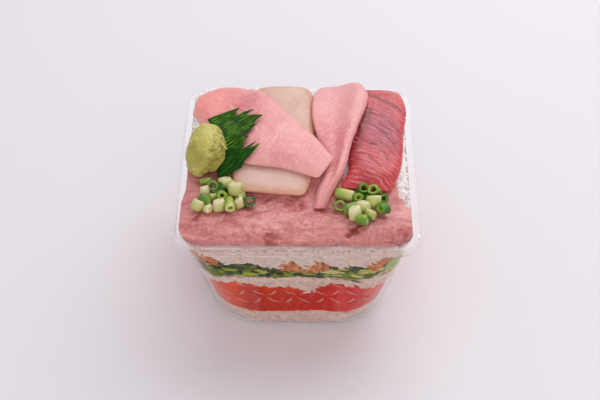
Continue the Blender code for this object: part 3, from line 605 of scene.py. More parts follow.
def tub_rings():
    """The tub's section from the middle of its underside to the middle of its inner floor."""
    section = [(0.0, 0.0, 0.0, 0)]
    foot = [cos(pi / 2 * step / FOOT_STEPS) for step in range(FOOT_STEPS + 1)]

    def at_wall(z, inset):
        section.append((*wall_size(z, inset), z, 0))

    def at_rim(z, out, rounding):
        section.append((OPENING_HALF + out, OPENING_CORNER + out, z, rounding))

    for drop in foot:
        at_wall(FOOT_ROUND - FOOT_ROUND * drop, 0.0)
    for z in WALL_HEIGHTS:
        at_wall(z, 0.0)
    under, top, low = TUB_HEIGHT - WALL, TUB_HEIGHT, TUB_HEIGHT - LIP_DROP

    at_rim(under, WALL, 0.3)
    at_rim(under, RIM_WIDTH - WALL, 0.18)
    at_rim(low, RIM_WIDTH - WALL + LIP_FLARE, 0.12)
    at_rim(low, RIM_WIDTH + LIP_FLARE, 0.12)
    at_rim(top, RIM_WIDTH, 0.3)
    at_rim(top, 0.0, 0.22)
    for z in WALL_HEIGHTS[::-1]:
        at_wall(z, WALL)
    for drop in foot[::-1]:
        at_wall(FOOT_ROUND - (FOOT_ROUND - WALL) * drop, WALL)
    section.append((0.0, 0.0, WALL, 0))
    return softened(section)


def make_tub():
    rings = tub_rings()

    def place(u, v):
        half, corner, z = rings[round(v * (len(rings) - 1))]
        if half == 0:
            return Vector((0, 0, z))
        x, y = outline_point(round(u * TUB_AROUND), half, corner)
        return Vector((x, y, z))

    bm = wrapped(TUB_AROUND, len(rings) - 1, place)
    piece_from("tub_shell", bm, plastic_material(), ["tub"], "clear_plastic")


# Overlapping circles pressed into the walls: each petal is a low pad on the outer face, its pale pink, half
# see-through colour a painted highlight where the pressed plastic catches the light

CIRCLES_EACH_WAY = 2
CIRCLE_PITCH = 15.5
CIRCLE_MIDDLE = -0.6
BAND_HEIGHT = 27.4
PETAL_LONG = 7.0
PETAL_WIDE = 1.1
PETAL_OUT = 0.2
PETAL_SINK = 0.05
PETAL_BEND = 0.9
PETAL_ACROSS = 3.8
PETAL_UP = 3.5
PETAL_TILT = radians(42)


def make_petals():
    shape = bmesh.new()
    bmesh.ops.create_icosphere(shape, subdivisions=3, radius=1.0)
    for vert in shape.verts:
        along, across, out = vert.co
        thin = 1 - 0.45 * along * along
        bend = PETAL_BEND * (along * along - 0.4)
        vert.co = (along * PETAL_LONG / 2, across * PETAL_WIDE / 2 * thin + bend, -out * thin * PETAL_OUT)
    points, faces = arrays(shape)
    pads = Scatter()
    for side in range(4):
        for n in range(-CIRCLES_EACH_WAY, CIRCLES_EACH_WAY + 1):
            for row, shift in ((-1, 0.0), (1, 0.0), (3, 0.5)):
                for way in (-1, 1):
                    x = CIRCLE_MIDDLE + (n + shift) * CIRCLE_PITCH + way * PETAL_ACROSS
                    z = BAND_HEIGHT + row * PETAL_UP
                    turn = side + front_turn(x, z) - 3
                    rising = way if row > 0 else -way
                    spots = on_wall(points, turn, z, rising * PETAL_TILT, PETAL_SINK, -1.0)
                    pads.add((points, faces), spots, 0.5)
    pads.piece("tub_petal_highlights", petal_highlight_material(), [], "clear_plastic")


# Rice

GRAIN_LONG = 5.4
GRAIN_WIDE = 2.35
GRAIN_THICK = 1.7
GRAIN_STEP_ALONG = 3.3
GRAIN_STEP_UP = 1.95
GRAIN_TILT = 0.75
OPEN_COLUMNS = 330
OPEN_ROWS = 5
OPEN_STEP_IN = 1.9
MINCE_BACK = -34


def grain_shape(bend, plump):
    bm = bmesh.new()
    bmesh.ops.create_icosphere(bm, subdivisions=2, radius=1.0)
    for vert in bm.verts:
        x, y, z = vert.co
        vert.co = (x * GRAIN_LONG / 2, y * GRAIN_WIDE / 2 * plump + bend * x * x, z * GRAIN_THICK / 2 * plump)
    return arrays(bm)


GRAINS = [grain_shape(bend, plump) for bend, plump in ((0.0, 1.0), (0.35, 1.05), (-0.3, 0.92), (0.5, 0.96))]


def wall_grains(scatter, low, high, draw, skip=None):
    """Grains pressed to the wall between two heights, in two depths."""
    for depth in (0, 1):
        middle = (low(0, -50) + high(0, -50)) / 2
        columns = int(4 * quarter_length(middle) / GRAIN_STEP_ALONG)
        for column in range(columns):
            turn = 4 * (column + 0.5 * depth) / columns
            spot = wall_point(turn % 4, middle, FOOD_INSET)
            bottom, top = low(spot.x, spot.y) + 0.7, high(spot.x, spot.y) - 0.6
            rows = max(1, round((top - bottom) / GRAIN_STEP_UP))
            for row in range(rows):
                z = bottom + (top - bottom) * (row + draw.uniform(0.2, 0.8)) / rows
                where = (turn + draw.uniform(-1.3, 1.3) / quarter_length(middle)) % 4
                shape = GRAINS[draw.randrange(len(GRAINS))]
                tilt = draw.gauss(0, GRAIN_TILT)
                inset = TOUCH_INSET + GRAIN_THICK * 0.3 + depth * 0.35 + draw.uniform(-0.1, 0.2)
                inset += corner_room(*wall_point(where, z, 0.0))
                tone = rice_tone_and_painted_shade(z, draw.random())
                if skip and skip(where, z):
                    continue
                scatter.add(shape, on_wall(shape[0], where, z, tilt, inset), tone, True)


def rice_material():
    # Painted shade: the low tones are darker and pinker, for the shade and the red light from the fish low on
    # the front wall; the high tones are the rice's own white
    return toned_material("rice", ((0.0, "D8B8A8"), (0.3, "E6CABA"), (0.5, "DEC6B8"), (0.65, "EAD6CA"),
                                   (0.8, "FAF6F2"), (1.0, "FFFDFB")), 0.42, coat=0.05,
                          radius=(1.0, 0.95, 0.9), size=300.0, strength=0.05, deep=0.0006)


def rice_tone_and_painted_shade(z, share):
    """Tone of a grain behind the wall: random, and darker and warmer low down, as painted shade and painted
    red light from the fish.
    """
    return 0.3 * share + 0.33 * smooth_step(34, 56, z)


def make_core(name, node, paint, slot, shrink, tone, open_tone=None):
    """A layer's own solid, drawn in from the wall so that the grains on it show."""
    bm = mesh_of(node)
    for vert in bm.verts:
        inside, way = wall_side(vert.co.x, vert.co.y, vert.co.z, FOOD_INSET)
        if inside < 2.5:
            vert.co -= way * (shrink + corner_room(*vert.co))
    core = rounded(bm, 1)
    give_values(core, "tone", lambda x, y, z: open_tone if open_tone and z > RICE_TOP_FRONT - 1 else tone)
    piece_from(name, core, paint, [node], slot)


def vegetable_gap(turn, z):
    """Leaves the room of the vegetable piece free of other things."""
    low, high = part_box("cucumber_piece")
    spot = wall_point(turn, z, FOOD_INSET)
    return (low[0] / MM - 1.2 < spot.x and spot.y < high[1] / MM + 1.2
            and low[2] / MM - 1.0 < z < high[2] / MM + 0.8)


def make_rice():
    rice = rice_material()
    draw = Random(3)
    # Core tones rise with the layer: the lower layers are painted darker and warmer as shade, and the open
    # top (0.85) has the rice's own white
    for name, node, low, high, tone in (
            ("bottom", "rice_bottom", lambda x, y: 1.6, fish_floor, 0.12),
            ("middle", "rice_middle", fish_top, greens_floor, 0.25),
            ("top", "rice_top", flake_top, rice_top, 0.45)):
        make_core(f"rice_{name}_core", node, rice, "rice", 0.1, tone, 0.85)
        grains = Scatter()
        wall_grains(grains, low, high, draw, vegetable_gap)
        grains.piece(f"rice_{name}_grains", rice, [], "rice")
    open_grains = Scatter()
    top_grains(open_grains, draw)
    open_grains.piece("rice_top_open_grains", rice, [], "rice")


def top_grains(scatter, draw):
    """Grains on the open surface: the strip by the right wall and the edges behind the slices."""
    tree = BVHTree.FromBMesh(mesh_of("rice_top"))
    for column in range(OPEN_COLUMNS):
        turn = 4 * column / OPEN_COLUMNS
        for row in range(OPEN_ROWS):
            edge = wall_point(turn, RICE_TOP_FRONT + 4, FOOD_INSET + 1.2 + row * OPEN_STEP_IN)
            if edge.y < MINCE_BACK:
                continue
            hit = tree.ray_cast(Vector((edge.x, edge.y, 100)), Vector((0, 0, -1)))[0]
            if not hit or draw.random() < 0.1:
                continue
            shape = GRAINS[draw.randrange(len(GRAINS))]
            way = Euler((draw.gauss(0, 0.3), draw.gauss(0, 0.3), draw.uniform(0, pi)))
            place = Vector((edge.x, edge.y, hit.z + draw.uniform(-0.45, 0.1)))
            scatter.add(shape, laid_flat(shape[0], place, way), 0.8 + 0.2 * draw.random())


# Fish between the rice

def fish_join(x, y, z):
    """How near a place is to the join of the two kinds of fish, where they have one colour."""
    return smooth_step(14, 2, abs(x - FISH_SPLIT_X) + 3 * ripple(x, y, z, 5))


def fish_tint_and_painted_highlight(x, y, z):
    """How bright and orange the fish is: the salmon's own orange at the left, painted highlights in two
    corners at the right, and brighter along its upper edge.
    """
    corner = smooth_step(-20, -36, x) + 0.8 * lump(x, y, 46, -42, 9) + 0.6 * lump(x, y, 44, 44, 14)
    high = smooth_step(-4.5, 0.5, z - fish_top(x, y))
    return corner * 0.85 + 0.4 * high + 0.4 * ripple(x, y, z, 6) - 0.05


def make_fish_layers():
    """Salmon at the left, lean tuna at the right, both wet against the plastic."""
    # The rim mark lays on the salmon's own orange at the left and painted orange highlights in the right
    # corners, and brightens the upper edge
    salmon = fish_material("salmon", "B82200", "C22702", "CC3004", "E66A30", 0.2, rough=0.45, sheen=0.08,
                           lines=40.0, bend=9.0, thin=0.82, patch=38.0, coat=0.0, show=0.25,
                           marks=(("rim", "EE4E04", 1.0), ("join", "C41C08", 1.0)), strength=0.2)
    red = fish_material("red_tuna", "C01610", "CE201A", "DC3026", "E87464", 0.6, rough=0.45, sheen=0.08,
                        lines=50.0, bend=9.0, thin=0.78, patch=60.0, coat=0.0, show=0.25,
                        marks=(("rim", "E8442C", 1.0), ("join", "C41C08", 1.0)), strength=0.2)
    for node, paint, slot in (("salmon_layer", salmon, "salmon"), ("tuna_layer", red, "red_tuna")):
        bm = rounded(mesh_of(node), 3, 0.3)
        shift_along_normals(bm, lambda co, n: 0.35 * ripple(*co, 4) + 0.15 * ripple(*co, 1.6))
        press_to_wall(bm, depth=2.4, dents=0.4)
        give_values(bm, "rim", fish_tint_and_painted_highlight)
        give_values(bm, "join", fish_join)
        piece_from(node + "_body", bm, paint, [node], slot)


# Shredded leaves

SHREDS = 420
SHRED_STEPS = 10
SHRED_THICK = 0.16
GREENS_SPLIT_X = -5


def shred_shape(length, width, wave, fold, draw):
    """A thin strip with a raised middle, tapering to both ends."""
    phase = draw.uniform(0, 2 * pi)

    def place(u, v):
        around = 2 * pi * v
        t = 2 * u - 1
        taper = 0.0 if abs(t) > 0.999 else 1 - 0.7 * abs(t) ** 3
        y = cos(around) * width / 2 * taper + wave * sin(2.4 * t + phase)
        z = (sin(around) * SHRED_THICK - fold * abs(cos(around))) * taper + 0.35 * sin(3.1 * t + phase * 2)
        return Vector((t * length / 2, y, z))

    return arrays(wrapped(SHRED_STEPS, 6, place))


def make_greens():
    leaf = toned_material("green_leaves", ((0.0, "1A2800"), (0.25, "344800"), (0.5, "647A04"),
                                           (0.75, "A0AA2C"), (1.0, "DAD488")), 0.45, under=0.2,
                          radius=(0.4, 1.0, 0.2), size=500.0, strength=0.5)
    draw = Random(21)
    make_core("greens_core", "greens", leaf, "green_leaves", 0.4, 0.2)
    strips = Scatter()
    middle = (GREENS_FLOOR + GREENS_TOP) / 2
    for n in range(SHREDS):
        turn = 4 * (n + draw.uniform(-0.5, 0.5)) / SHREDS % 4
        spot = wall_point(turn, middle, FOOD_INSET)
        low, high = greens_floor(spot.x, spot.y), greens_top(spot.x, spot.y)
        left = spot.x < GREENS_SPLIT_X
        broad = draw.random() < (0.55 if left else 0.2)
        width = draw.uniform(2.4, 4.4) if broad else draw.uniform(0.9, 1.8)
        length = draw.uniform(8, 17)
        shape = shred_shape(length, width, draw.uniform(0.2, 1.2), 0.25 if broad else 0.05, draw)
        z = draw.uniform(low + width * 0.35, max(low + width * 0.36, high - width * 0.35))
        tilt = draw.gauss(0, 0.22)
        inset = TOUCH_INSET + 0.35 + draw.uniform(0, 1.1)
        if vegetable_gap(turn, z):
            continue
        bright = draw.betavariate(1.1, 2.2) if left else draw.betavariate(1.4, 1.0)
        strips.add(shape, on_wall(shape[0], turn, z, tilt, inset), bright, True)
    strips.piece("greens_shreds", leaf, [], "green_leaves")


# Cooked salmon flakes

FLAKE_SHAPES = 6
FLAKE_COLUMNS = 900
FLAKES_EACH = 3


def flake_shape(seed):
    bm = bmesh.new()
    bmesh.ops.create_icosphere(bm, subdivisions=2, radius=1.0)
    for vert in bm.verts:
        x, y, z = vert.co
        size = 1 + 0.35 * ripple(x + seed * 7, y, z, 0.9) + 0.2 * ripple(x, y + seed, z, 0.35)
        vert.co = Vector((x * 1.25, y * 0.9, z * 0.75)) * size
    return arrays(bm)


def make_flakes():
    paint = toned_material("salmon_flakes", ((0.0, "5A2C18"), (0.05, "8A4A28"), (0.1, "C66C3C"),
                                             (0.6, "DC8450"), (1.0, "ECA878")), 0.5, under=0.4,
                           size=420.0, strength=0.4)
    make_core("salmon_flakes_core", "salmon_flakes", paint, "salmon_flakes", 0.1, 0.35)
    shapes = [flake_shape(seed) for seed in range(FLAKE_SHAPES)]
    draw = Random(5)
    bits = Scatter()
    for n in range(FLAKE_COLUMNS):
        turn = 4 * (n + draw.random()) / FLAKE_COLUMNS % 4
        spot = wall_point(turn, GREENS_TOP, FOOD_INSET)
        strength = flake_spot(spot.x, spot.y)
        if strength < 0.3:
            continue
        low, high = greens_top(spot.x, spot.y) - 0.5, flake_top(spot.x, spot.y)
        for _ in range(FLAKES_EACH):
            z = draw.uniform(low, max(low + 0.2, high - 0.8))
            size = draw.uniform(0.6, 1.3)
            shape = shapes[draw.randrange(FLAKE_SHAPES)]
            inset = TOUCH_INSET + size * 0.5 + draw.uniform(0, 0.4)
            if vegetable_gap(turn, z):
                continue
            spots = on_wall(shape[0] * size, turn, z, draw.uniform(0, pi), inset)
            bits.add(shape, spots, draw.random(), True)
    bits.piece("salmon_flakes_bits", paint, [], "salmon_flakes")


def make_vegetable():
    paint, tree, shader = new_material("cucumber", 0.3, coat=0.2, under=0.4, radius=(0.5, 1.0, 0.3))
    flesh = placed_group(tree, FLESH, (0, 0, 0.6), (1, 1, 0.2), Lines=160.0, Bend=1.5, Patch=80.0)
    base = ramp(tree, flesh["Patches"], ((0.3, "8E9A48"), (0.55, "A9B25C"), (0.75, "C0C67C")))
    tree.links.new(blend(tree, flesh["Sinews"], base, tint("D2D49A")), shader.inputs["Base Color"])
    bump(tree, shader, flesh["Grain"], 0.3, FINE_BUMP)
    bm = rounded(mesh_of("cucumber_piece"), 2)
    press_to_wall(bm)
    piece_from("cucumber_body", bm, paint, ["cucumber_piece"], "cucumber")


# Minced tuna

RED_SPOTS = ((27.0, -49.0, 3.4, 1.0), (29.9, -46.0, 2.6, 0.8), (24.6, -51.4, 2.4, 0.8),
             (-12.9, -52.8, 4.0, 0.9), (-8.0, -52.0, 2.5, 0.6), (49.8, -51.0, 5.0, 0.8),
             (47.1, -47.0, 3.5, 0.5), (-3.1, -30.7, 4.0, 0.8), (2.5, -31.0, 3.5, 0.7),
             (12.4, -35.1, 3.5, 0.6), (-48.1, -42.5, 3.2, 0.8), (-46.7, -39.8, 2.4, 0.6),
             (-52.0, -48.0, 3.0, 0.5), (36.0, -28.0, 6.0, 0.5), (20.0, -25.0, 5.0, 0.7))
CRACKED_SPOTS = RED_SPOTS[:5]
CRACK_DEPTH = 1.1
FILL_SIDE = 0.8
FILL_CORNER = 3.2
FILL_REACH = 12
BULGE_LEFT = 1.8


def mince_relief(co, normal):
    """Folds, curds and a few cracks, on what faces up."""
    x, y, z = co
    folds = 0.8 * ripple(x * 0.5, y, z, 4.5) + 0.55 * ripple(x * 0.7, y * 1.3, z, 2.2)
    curds = 0.45 * abs(ripple(x * 0.6, y * 1.2, z, 1.1)) + 0.15 * ripple(x, y, z, 0.6)
    crack = sum(-CRACK_DEPTH * s * lump(x, y, px, py, 0.55 * r) for px, py, r, s in CRACKED_SPOTS)
    return (folds + curds + crack) * smooth_step(-0.2, 0.4, normal.z + 0.4)


def mince_red(x, y, z):
    """How red the mince is: dark ragged spots, and weaker patches all over."""
    spot = max(s * lump(x, y, px, py, r) for px, py, r, s in RED_SPOTS)
    patches = smooth_step(0.25, 0.6, ripple(x, y * 1.4, z, 6)) * 0.3
    ragged = 0.45 * ripple(x, y, z, 2.2) + 0.2 * ripple(x * 0.5, y, z, 1.1)
    return 0.9 * smooth_step(0.25, 0.85, spot + (ragged if spot > 0.1 else 0)) + patches


def fill_to_wall(bm):
    """Fills the mince out to the walls, most in the corners, and over the rim at the left."""
    for vert in bm.verts:
        x, y, z = vert.co
        inside, way = wall_side(x, y, min(z, TUB_HEIGHT), TOUCH_INSET)
        corner = smooth_step(0.72, 0.95, min(abs(x), abs(y)) / max(abs(x), abs(y), 1.0))
        move = (FILL_SIDE + FILL_CORNER * corner) * smooth_step(FILL_REACH, 0, inside)
        vert.co += way * min(max(inside, 0.0), move)
        over = smooth_step(TUB_HEIGHT + 0.4, TUB_HEIGHT + 2.0, z)
        vert.co.x -= BULGE_LEFT * over * smooth_step(-48, -53, x) * smooth_step(-20, -30, y)


def make_minced():
    paint, tree, shader = new_material("minced_tuna", 0.36, coat=0.12, under=0.4)
    crumbs = placed_group(tree, CRUMBS, Size=520.0)
    soft = placed_group(tree, FLESH, (0, 0, 0.15), (0.45, 1.3, 1.0), Lines=260.0, Bend=9.0, Thin=0.55,
                        Patch=150.0)
    base = ramp(tree, soft["Patches"], ((0.25, "BC6664"), (0.45, "CA7876"), (0.6, "D68A88"),
                                        (0.8, "E6A4A0")))
    speck = calculate(tree, "MULTIPLY", grey(tree, soft["Grain"], 0.45, 0.75), 0.45)
    fine = blend(tree, speck, base, tint("E8AAA2"))
    fibred = blend(tree, calculate(tree, "MULTIPLY", soft["Sinews"], 0.22), fine, tint("F0BEB4"))
    deep = blend(tree, grey(tree, crumbs["Patches"], 0.35, 0.65), tint("8A2024"), tint("B4443E"))
    tree.links.new(blend(tree, point_value(tree, "red"), fibred, deep), shader.inputs["Base Color"])
    bump(tree, shader, calculate(tree, "ADD", crumbs["Height"], soft["Grain"]), 0.3, FISH_BUMP)
    bm = rounded(mesh_of("minced_tuna"), 3, 0.5)
    shift_along_normals(bm, mince_relief)
    fill_to_wall(bm)
    press_to_wall(bm, depth=2.0, dents=0.3, below=TUB_HEIGHT - 0.3)
    give_values(bm, "red", mince_red)
    piece_from("minced_tuna_body", bm, paint, ["minced_tuna"], "minced_tuna")


# Slices

SLICE_RIM = 5.0


def make_slice(node, paint, relief, marks):
    """A slice with its relief, the nearness of its rim and the places of its marks."""
    bm = rounded(mesh_of(node), 3, 0.12)
    shift_along_normals(bm, relief)
    bm.normal_update()
    border = [vert.co.xy for vert in bm.verts if abs(vert.normal.z) < 0.35]
    tree = KDTree(len(border))
    for n, spot in enumerate(border):
        tree.insert((spot.x, spot.y, 0), n)
    tree.balance()

    def rim(x, y, z):
        reach = tree.find((x, y, 0))[2]
        return smooth_step(SLICE_RIM, 0.0, reach + 1.2 * ripple(x, y, z, 3))

    give_values(bm, "rim", rim)
    for name, rule in marks.items():
        give_values(bm, name, rule)
    piece_from(node + "_body", bm, paint, [node], node)


def line_reach(x, y, places):
    """Distance in plan from a line through a few places."""
    spot = Vector((x, y))
    best = 1e9
    for first, second in zip(places, places[1:]):
        a, b = Vector(first), Vector(second)
        along = min(1.0, max(0.0, (spot - a).dot(b - a) / (b - a).length_squared))
        best = min(best, (spot - a.lerp(b, along)).length)
    return best


def stroke(x, y, places, width):
    """1 on a line and 0 past its width, with a ragged edge."""
    return 1 - smooth_step(0.0, width, line_reach(x, y, places) + 0.35 * width * ripple(x, y, 5, 1.8))


def furrows(co, way, size, depth):
    """Grooves that run across a direction in plan, a little wavy."""
    along = co.x * cos(way) + co.y * sin(way) + 1.6 * ripple(co.x, co.y, 0, 9)
    return depth * (abs(sin(along / size)) ** 0.6 - 0.6)


OTORO_CREASES = (((-5.1, 13.2), (-10.0, 3.0), (-15.1, -5.3)), ((-19.8, 35.3), (-6.7, 19.4), (14.5, -11.5)),
                 ((-3.5, -15.2), (-3.0, -23.0), (6.9, -27.0)), ((-36.0, 33.0), (-20.0, 8.0)))
# Lines in plan on the akami: a grooved stripe across the top, a band of painted shadow under the chutoro's
# edge, and grooved cuts painted dark as shade
AKAMI_STRIPE = ((33.0, 46.0), (36.4, 44.2), (46.0, 38.6), (55.0, 30.5))
AKAMI_SHADE = ((36.5, 30.0), (31.8, 17.5), (27.0, -2.0), (25.0, -10.0))
AKAMI_CUTS = (((35.5, 20.0), (42.0, 15.0), (50.5, 4.0)), ((31.5, 8.5), (40.0, 2.5), (45.0, -5.5)),
              ((37.0, 28.0), (43.0, 26.0), (53.5, 14.5)), ((39.0, 8.0), (49.0, -1.5)),
              ((28.5, -1.5), (35.0, -4.0), (41.0, -11.5)), ((41.0, 20.5), (47.5, 16.0)))
CHUTORO_EDGE = ((35.0, 40.0), (33.0, 30.0), (29.5, 18.5), (26.5, 6.0), (23.5, -6.0), (20.0, -16.0))


def make_slices():
    # The front mark paints the pale slice's front whitish pink: partly its own paler flesh, partly painted
    # light that makes up for the shade the front falls in
    pale = fish_material("pale_slice", "CC9C88", "D8AE9C", "E2C0AE", "EACFC0", -1.2, rough=0.36,
                         lines=130.0, bend=5.0, thin=0.6, strength=0.25, coat=0.15, patch=45.0, show=0.35,
                         fleck=0.25, marks=(("front", "E8C6BA", 0.9), ("rim", "D89C74", 0.75)))
    make_slice("pale_slice", pale,
               lambda co, n: 0.2 * ripple(*co, 7) + furrows(co, 0.3, 2.0, 0.06),
               {"front": lambda x, y, z: smooth_step(-6, -16, y)})
    akami = fish_material("akami_slice", "A8182A", "C03038", "D44E54", "EE9C9C", -1.05, rough=0.3,
                          lines=110.0, bend=12.0, thin=0.6, strength=0.5, coat=0.2, patch=70.0, show=0.4,
                          fleck=0.2, marks=(("sheen", "A84868", 0.7), ("corner", "E46454", 0.6),
                                            ("grain", "8C1426", 0.5), ("dark", "5E0818", 0.8),
                                            ("rim", "D03038", 0.5)))

    def cuts(x, y):
        wobble = 1.6 * ripple(x, y, 3, 4)
        return max(stroke(x, y + wobble, cut, 0.8) for cut in AKAMI_CUTS)

    make_slice("akami_slice", akami,
               lambda co, n: (0.3 * ripple(*co, 6) + furrows(co, 1.1, 1.3, 0.12) * smooth_step(-0.2, 0.5, n.z)
                              - 0.45 * cuts(co.x, co.y) - 0.5 * stroke(co.x, co.y, AKAMI_STRIPE, 2.0)),
               # sheen mark: a broad mauve reflection of the light, painted into the colour
               {"sheen": lambda x, y, z: (smooth_step(1.0, 0.3, hypot((x - 43) / 14, (y - 16) / 22))
                                          * (0.75 + 0.6 * ripple(x, y, z, 3))),
                "corner": lambda x, y, z: smooth_step(10, 3, hypot(x - 54, y - 46)),
                "grain": lambda x, y, z: (
                    smooth_step(0.1, 0.5, ripple(x * 0.45 + y * 0.9, (y - x) * 0.12, 0, 1.4))
                    * smooth_step(58, 30, x - 0.2 * y)),
                # dark mark: painted shade in the grooved cuts and along the left edge under the chutoro, and
                # darker along the grooved stripe across the top
                "dark": lambda x, y, z: max(0.8 * cuts(x, y), 0.75 * stroke(x, y, AKAMI_STRIPE, 2.6),
                                            stroke(x, y, AKAMI_SHADE, 4.5))})
    chutoro = fish_material("chutoro_slice", "D06C72", "DE8488", "EA9EA0", "F4BCB6", -2.34, rough=0.36,
                            lines=120.0, bend=14.0, thin=0.5, strength=0.3, coat=0.12, patch=50.0, show=0.45,
                            fleck=0.3, marks=(("high", "F2B8B8", 0.45), ("fold", "F0B0AC", 0.85),
                                              ("rim", "E89C98", 0.4)))
    make_slice("chutoro_slice", chutoro,
               lambda co, n: (0.25 * ripple(*co, 7) + 0.7 * stroke(co.x, co.y, CHUTORO_EDGE, 4.0)
                              + furrows(co, 2.34, 1.3, 0.07) * smooth_step(-0.2, 0.5, n.z)),
               {"high": lambda x, y, z: smooth_step(10, 34, y),
                "fold": lambda x, y, z: max(stroke(x, y, CHUTORO_EDGE, 3.0), smooth_step(-8, -22, y) * 0.6)})
    otoro = fish_material("otoro_slice", "DC7C80", "E69294", "ECA6A6", "F6C4BE", 2.5, rough=0.38,
                          lines=55.0, bend=5.0, thin=0.85, strength=0.4, coat=0.1, patch=60.0, show=0.4,
                          fleck=0.45, marks=(("left", "F08A80", 0.55), ("right", "F0B2B4", 0.4),
                                             ("crease", "F6C8BE", 0.32), ("rim", "F2B4A8", 0.5)))

    def creases(x, y):
        wobble = 1.2 * ripple(x, y, 9, 5)
        return max(stroke(x + wobble, y, crease, 1.1) for crease in OTORO_CREASES)

    make_slice("otoro_slice", otoro,
               lambda co, n: (0.25 * ripple(*co, 8) + 0.14 * ripple(*co, 2.5)
                              + furrows(co, 2.5, 2.6, 0.07) * smooth_step(-0.2, 0.5, n.z)
                              - 0.3 * creases(co.x - 0.8, co.y) + 0.15 * creases(co.x + 0.4, co.y)),
               {"left": lambda x, y, z: smooth_step(-22, -46, x - 0.3 * (y - 30)),
                "right": lambda x, y, z: smooth_step(-16, 4, x),
                "crease": lambda x, y, z: creases(x, y)})


# Leaf divider and wasabi

def make_leaf():
    paint, tree, shader = new_material("leaf_film", 0.55, sheen=0.15)
    flesh = placed_group(tree, FLESH, (0, 0, -2.08), (1, 1, 0.3), Lines=170.0, Bend=0.3, Thin=0.5, Patch=90.0)
    base = ramp(tree, flesh["Patches"], ((0.3, "0E3000"), (0.5, "1C4600"), (0.7, "2C5C00")))
    lit = blend(tree, flesh["Sinews"], base, tint("5C9410"))
    colour = blend(tree, point_value(tree, "low"), lit, tint("064400"))
    tree.links.new(colour, shader.inputs["Base Color"])
    bump(tree, shader, flesh["Sinews"], 0.4, FINE_BUMP)
    bm = mesh_of("leaf_divider")
    bmesh.ops.subdivide_edges(bm, edges=bm.edges, cuts=2, use_grid_fill=True)
    give_values(bm, "low", lambda x, y, z: 0.75 * smooth_step(0, -10, y))
    piece_from("leaf_film", bm, paint, ["leaf_divider"], "leaf_film")


WASABI_HOLES = ((-38.0, -9.0, 3.2), (-41.5, -13.0, 2.6), (-36.6, -3.5, 2.2), (-43.5, -17.0, 2.4))
WASABI_FOOT = 76
HOLE_DEPTH = 2.6


def wasabi_looseness(x, y, z):
    """How crumbly it is: near its foot and at its lower right."""
    low = smooth_step(WASABI_FOOT + 10, WASABI_FOOT + 1, z + 0.15 * y)
    return max(low, smooth_step(-46, -38, x) * smooth_step(4, -6, y - 0.3 * (z - 85)))


def wasabi_hole_and_foot_shade(x, y, z):
    """How much painted shade it gets: in its holes and in the gaps at its foot."""
    holes = max(lump(x, y, px, py, 0.7 * size) for px, py, size in WASABI_HOLES)
    foot = smooth_step(WASABI_FOOT + 3.5, WASABI_FOOT, z + 1.5 * ripple(x, y, z, 2.0))
    torn = smooth_step(0.3, -0.4, ripple(x, y, z, 1.5))
    return wasabi_looseness(x, y, z) * max(holes * torn, 0.6 * foot)


def wasabi_relief(co, normal):
    """Lumps, crumbs and holes, the broad lumps weaker at its foot."""
    share = wasabi_looseness(*co)
    holes = max(lump(co.x, co.y, px, py, size) for px, py, size in WASABI_HOLES)
    torn = 0.5 + 0.5 * ripple(*co, 1.5)
    low = smooth_step(WASABI_FOOT + 3, WASABI_FOOT, co.z)
    return ((0.7 - 0.4 * low) * ripple(*co, 5) + (0.3 + 0.5 * share) * ripple(*co, 1.9)
            + (0.12 + 0.4 * share) * ripple(*co, 0.9) - HOLE_DEPTH * holes * share * torn)


def make_wasabi():
    """Smooth where it was pressed, crumbly with holes at its lower right and along its foot, with painted
    shade in the holes, the pits and the gaps at its foot.
    """
    paint, tree, shader = new_material("wasabi", 0.6, coat=0.05, under=0.3, radius=(0.6, 1.0, 0.2))
    crumbs = placed_group(tree, CRUMBS, Size=420.0)
    base = ramp(tree, crumbs["Patches"], ((0.3, "9C943A"), (0.5, "BEB65A"), (0.7, "D4CC7C")))
    # Painted shade: the low parts of the crumb bump are darkened, only where the wasabi is loose
    pits = ramp(tree, grey(tree, crumbs["Height"], 0.35, 0.75), ((0.0, "A09848"), (1.0, "FFFFFF")))
    pit_shaded = blend(tree, 1.0, base, pits, "MULTIPLY")
    loose_pit_shaded = blend(tree, point_value(tree, "loose"), base, pit_shaded)
    # Painted shade: dark olive in the holes and the gaps at the foot
    colour = blend(tree, point_value(tree, "hole_and_foot_shade"), loose_pit_shaded, tint("5E541A"))
    tree.links.new(colour, shader.inputs["Base Color"])
    bump(tree, shader, crumbs["Height"], 0.5, CRUMB_BUMP)
    bm = rounded(mesh_of("wasabi"), 4)
    give_values(bm, "loose", lambda x, y, z: 0.3 + 0.7 * wasabi_looseness(x, y, z))
    give_values(bm, "hole_and_foot_shade", wasabi_hole_and_foot_shade)
    shift_along_normals(bm, wasabi_relief)
    piece_from("wasabi_body", bm, paint, ["wasabi"], "wasabi")


# Spring onion

TUBE_SIDES = 20
TUBE_SECTION = 12
ONION_SIZE = 1.18
ONION_SINK = 0.3

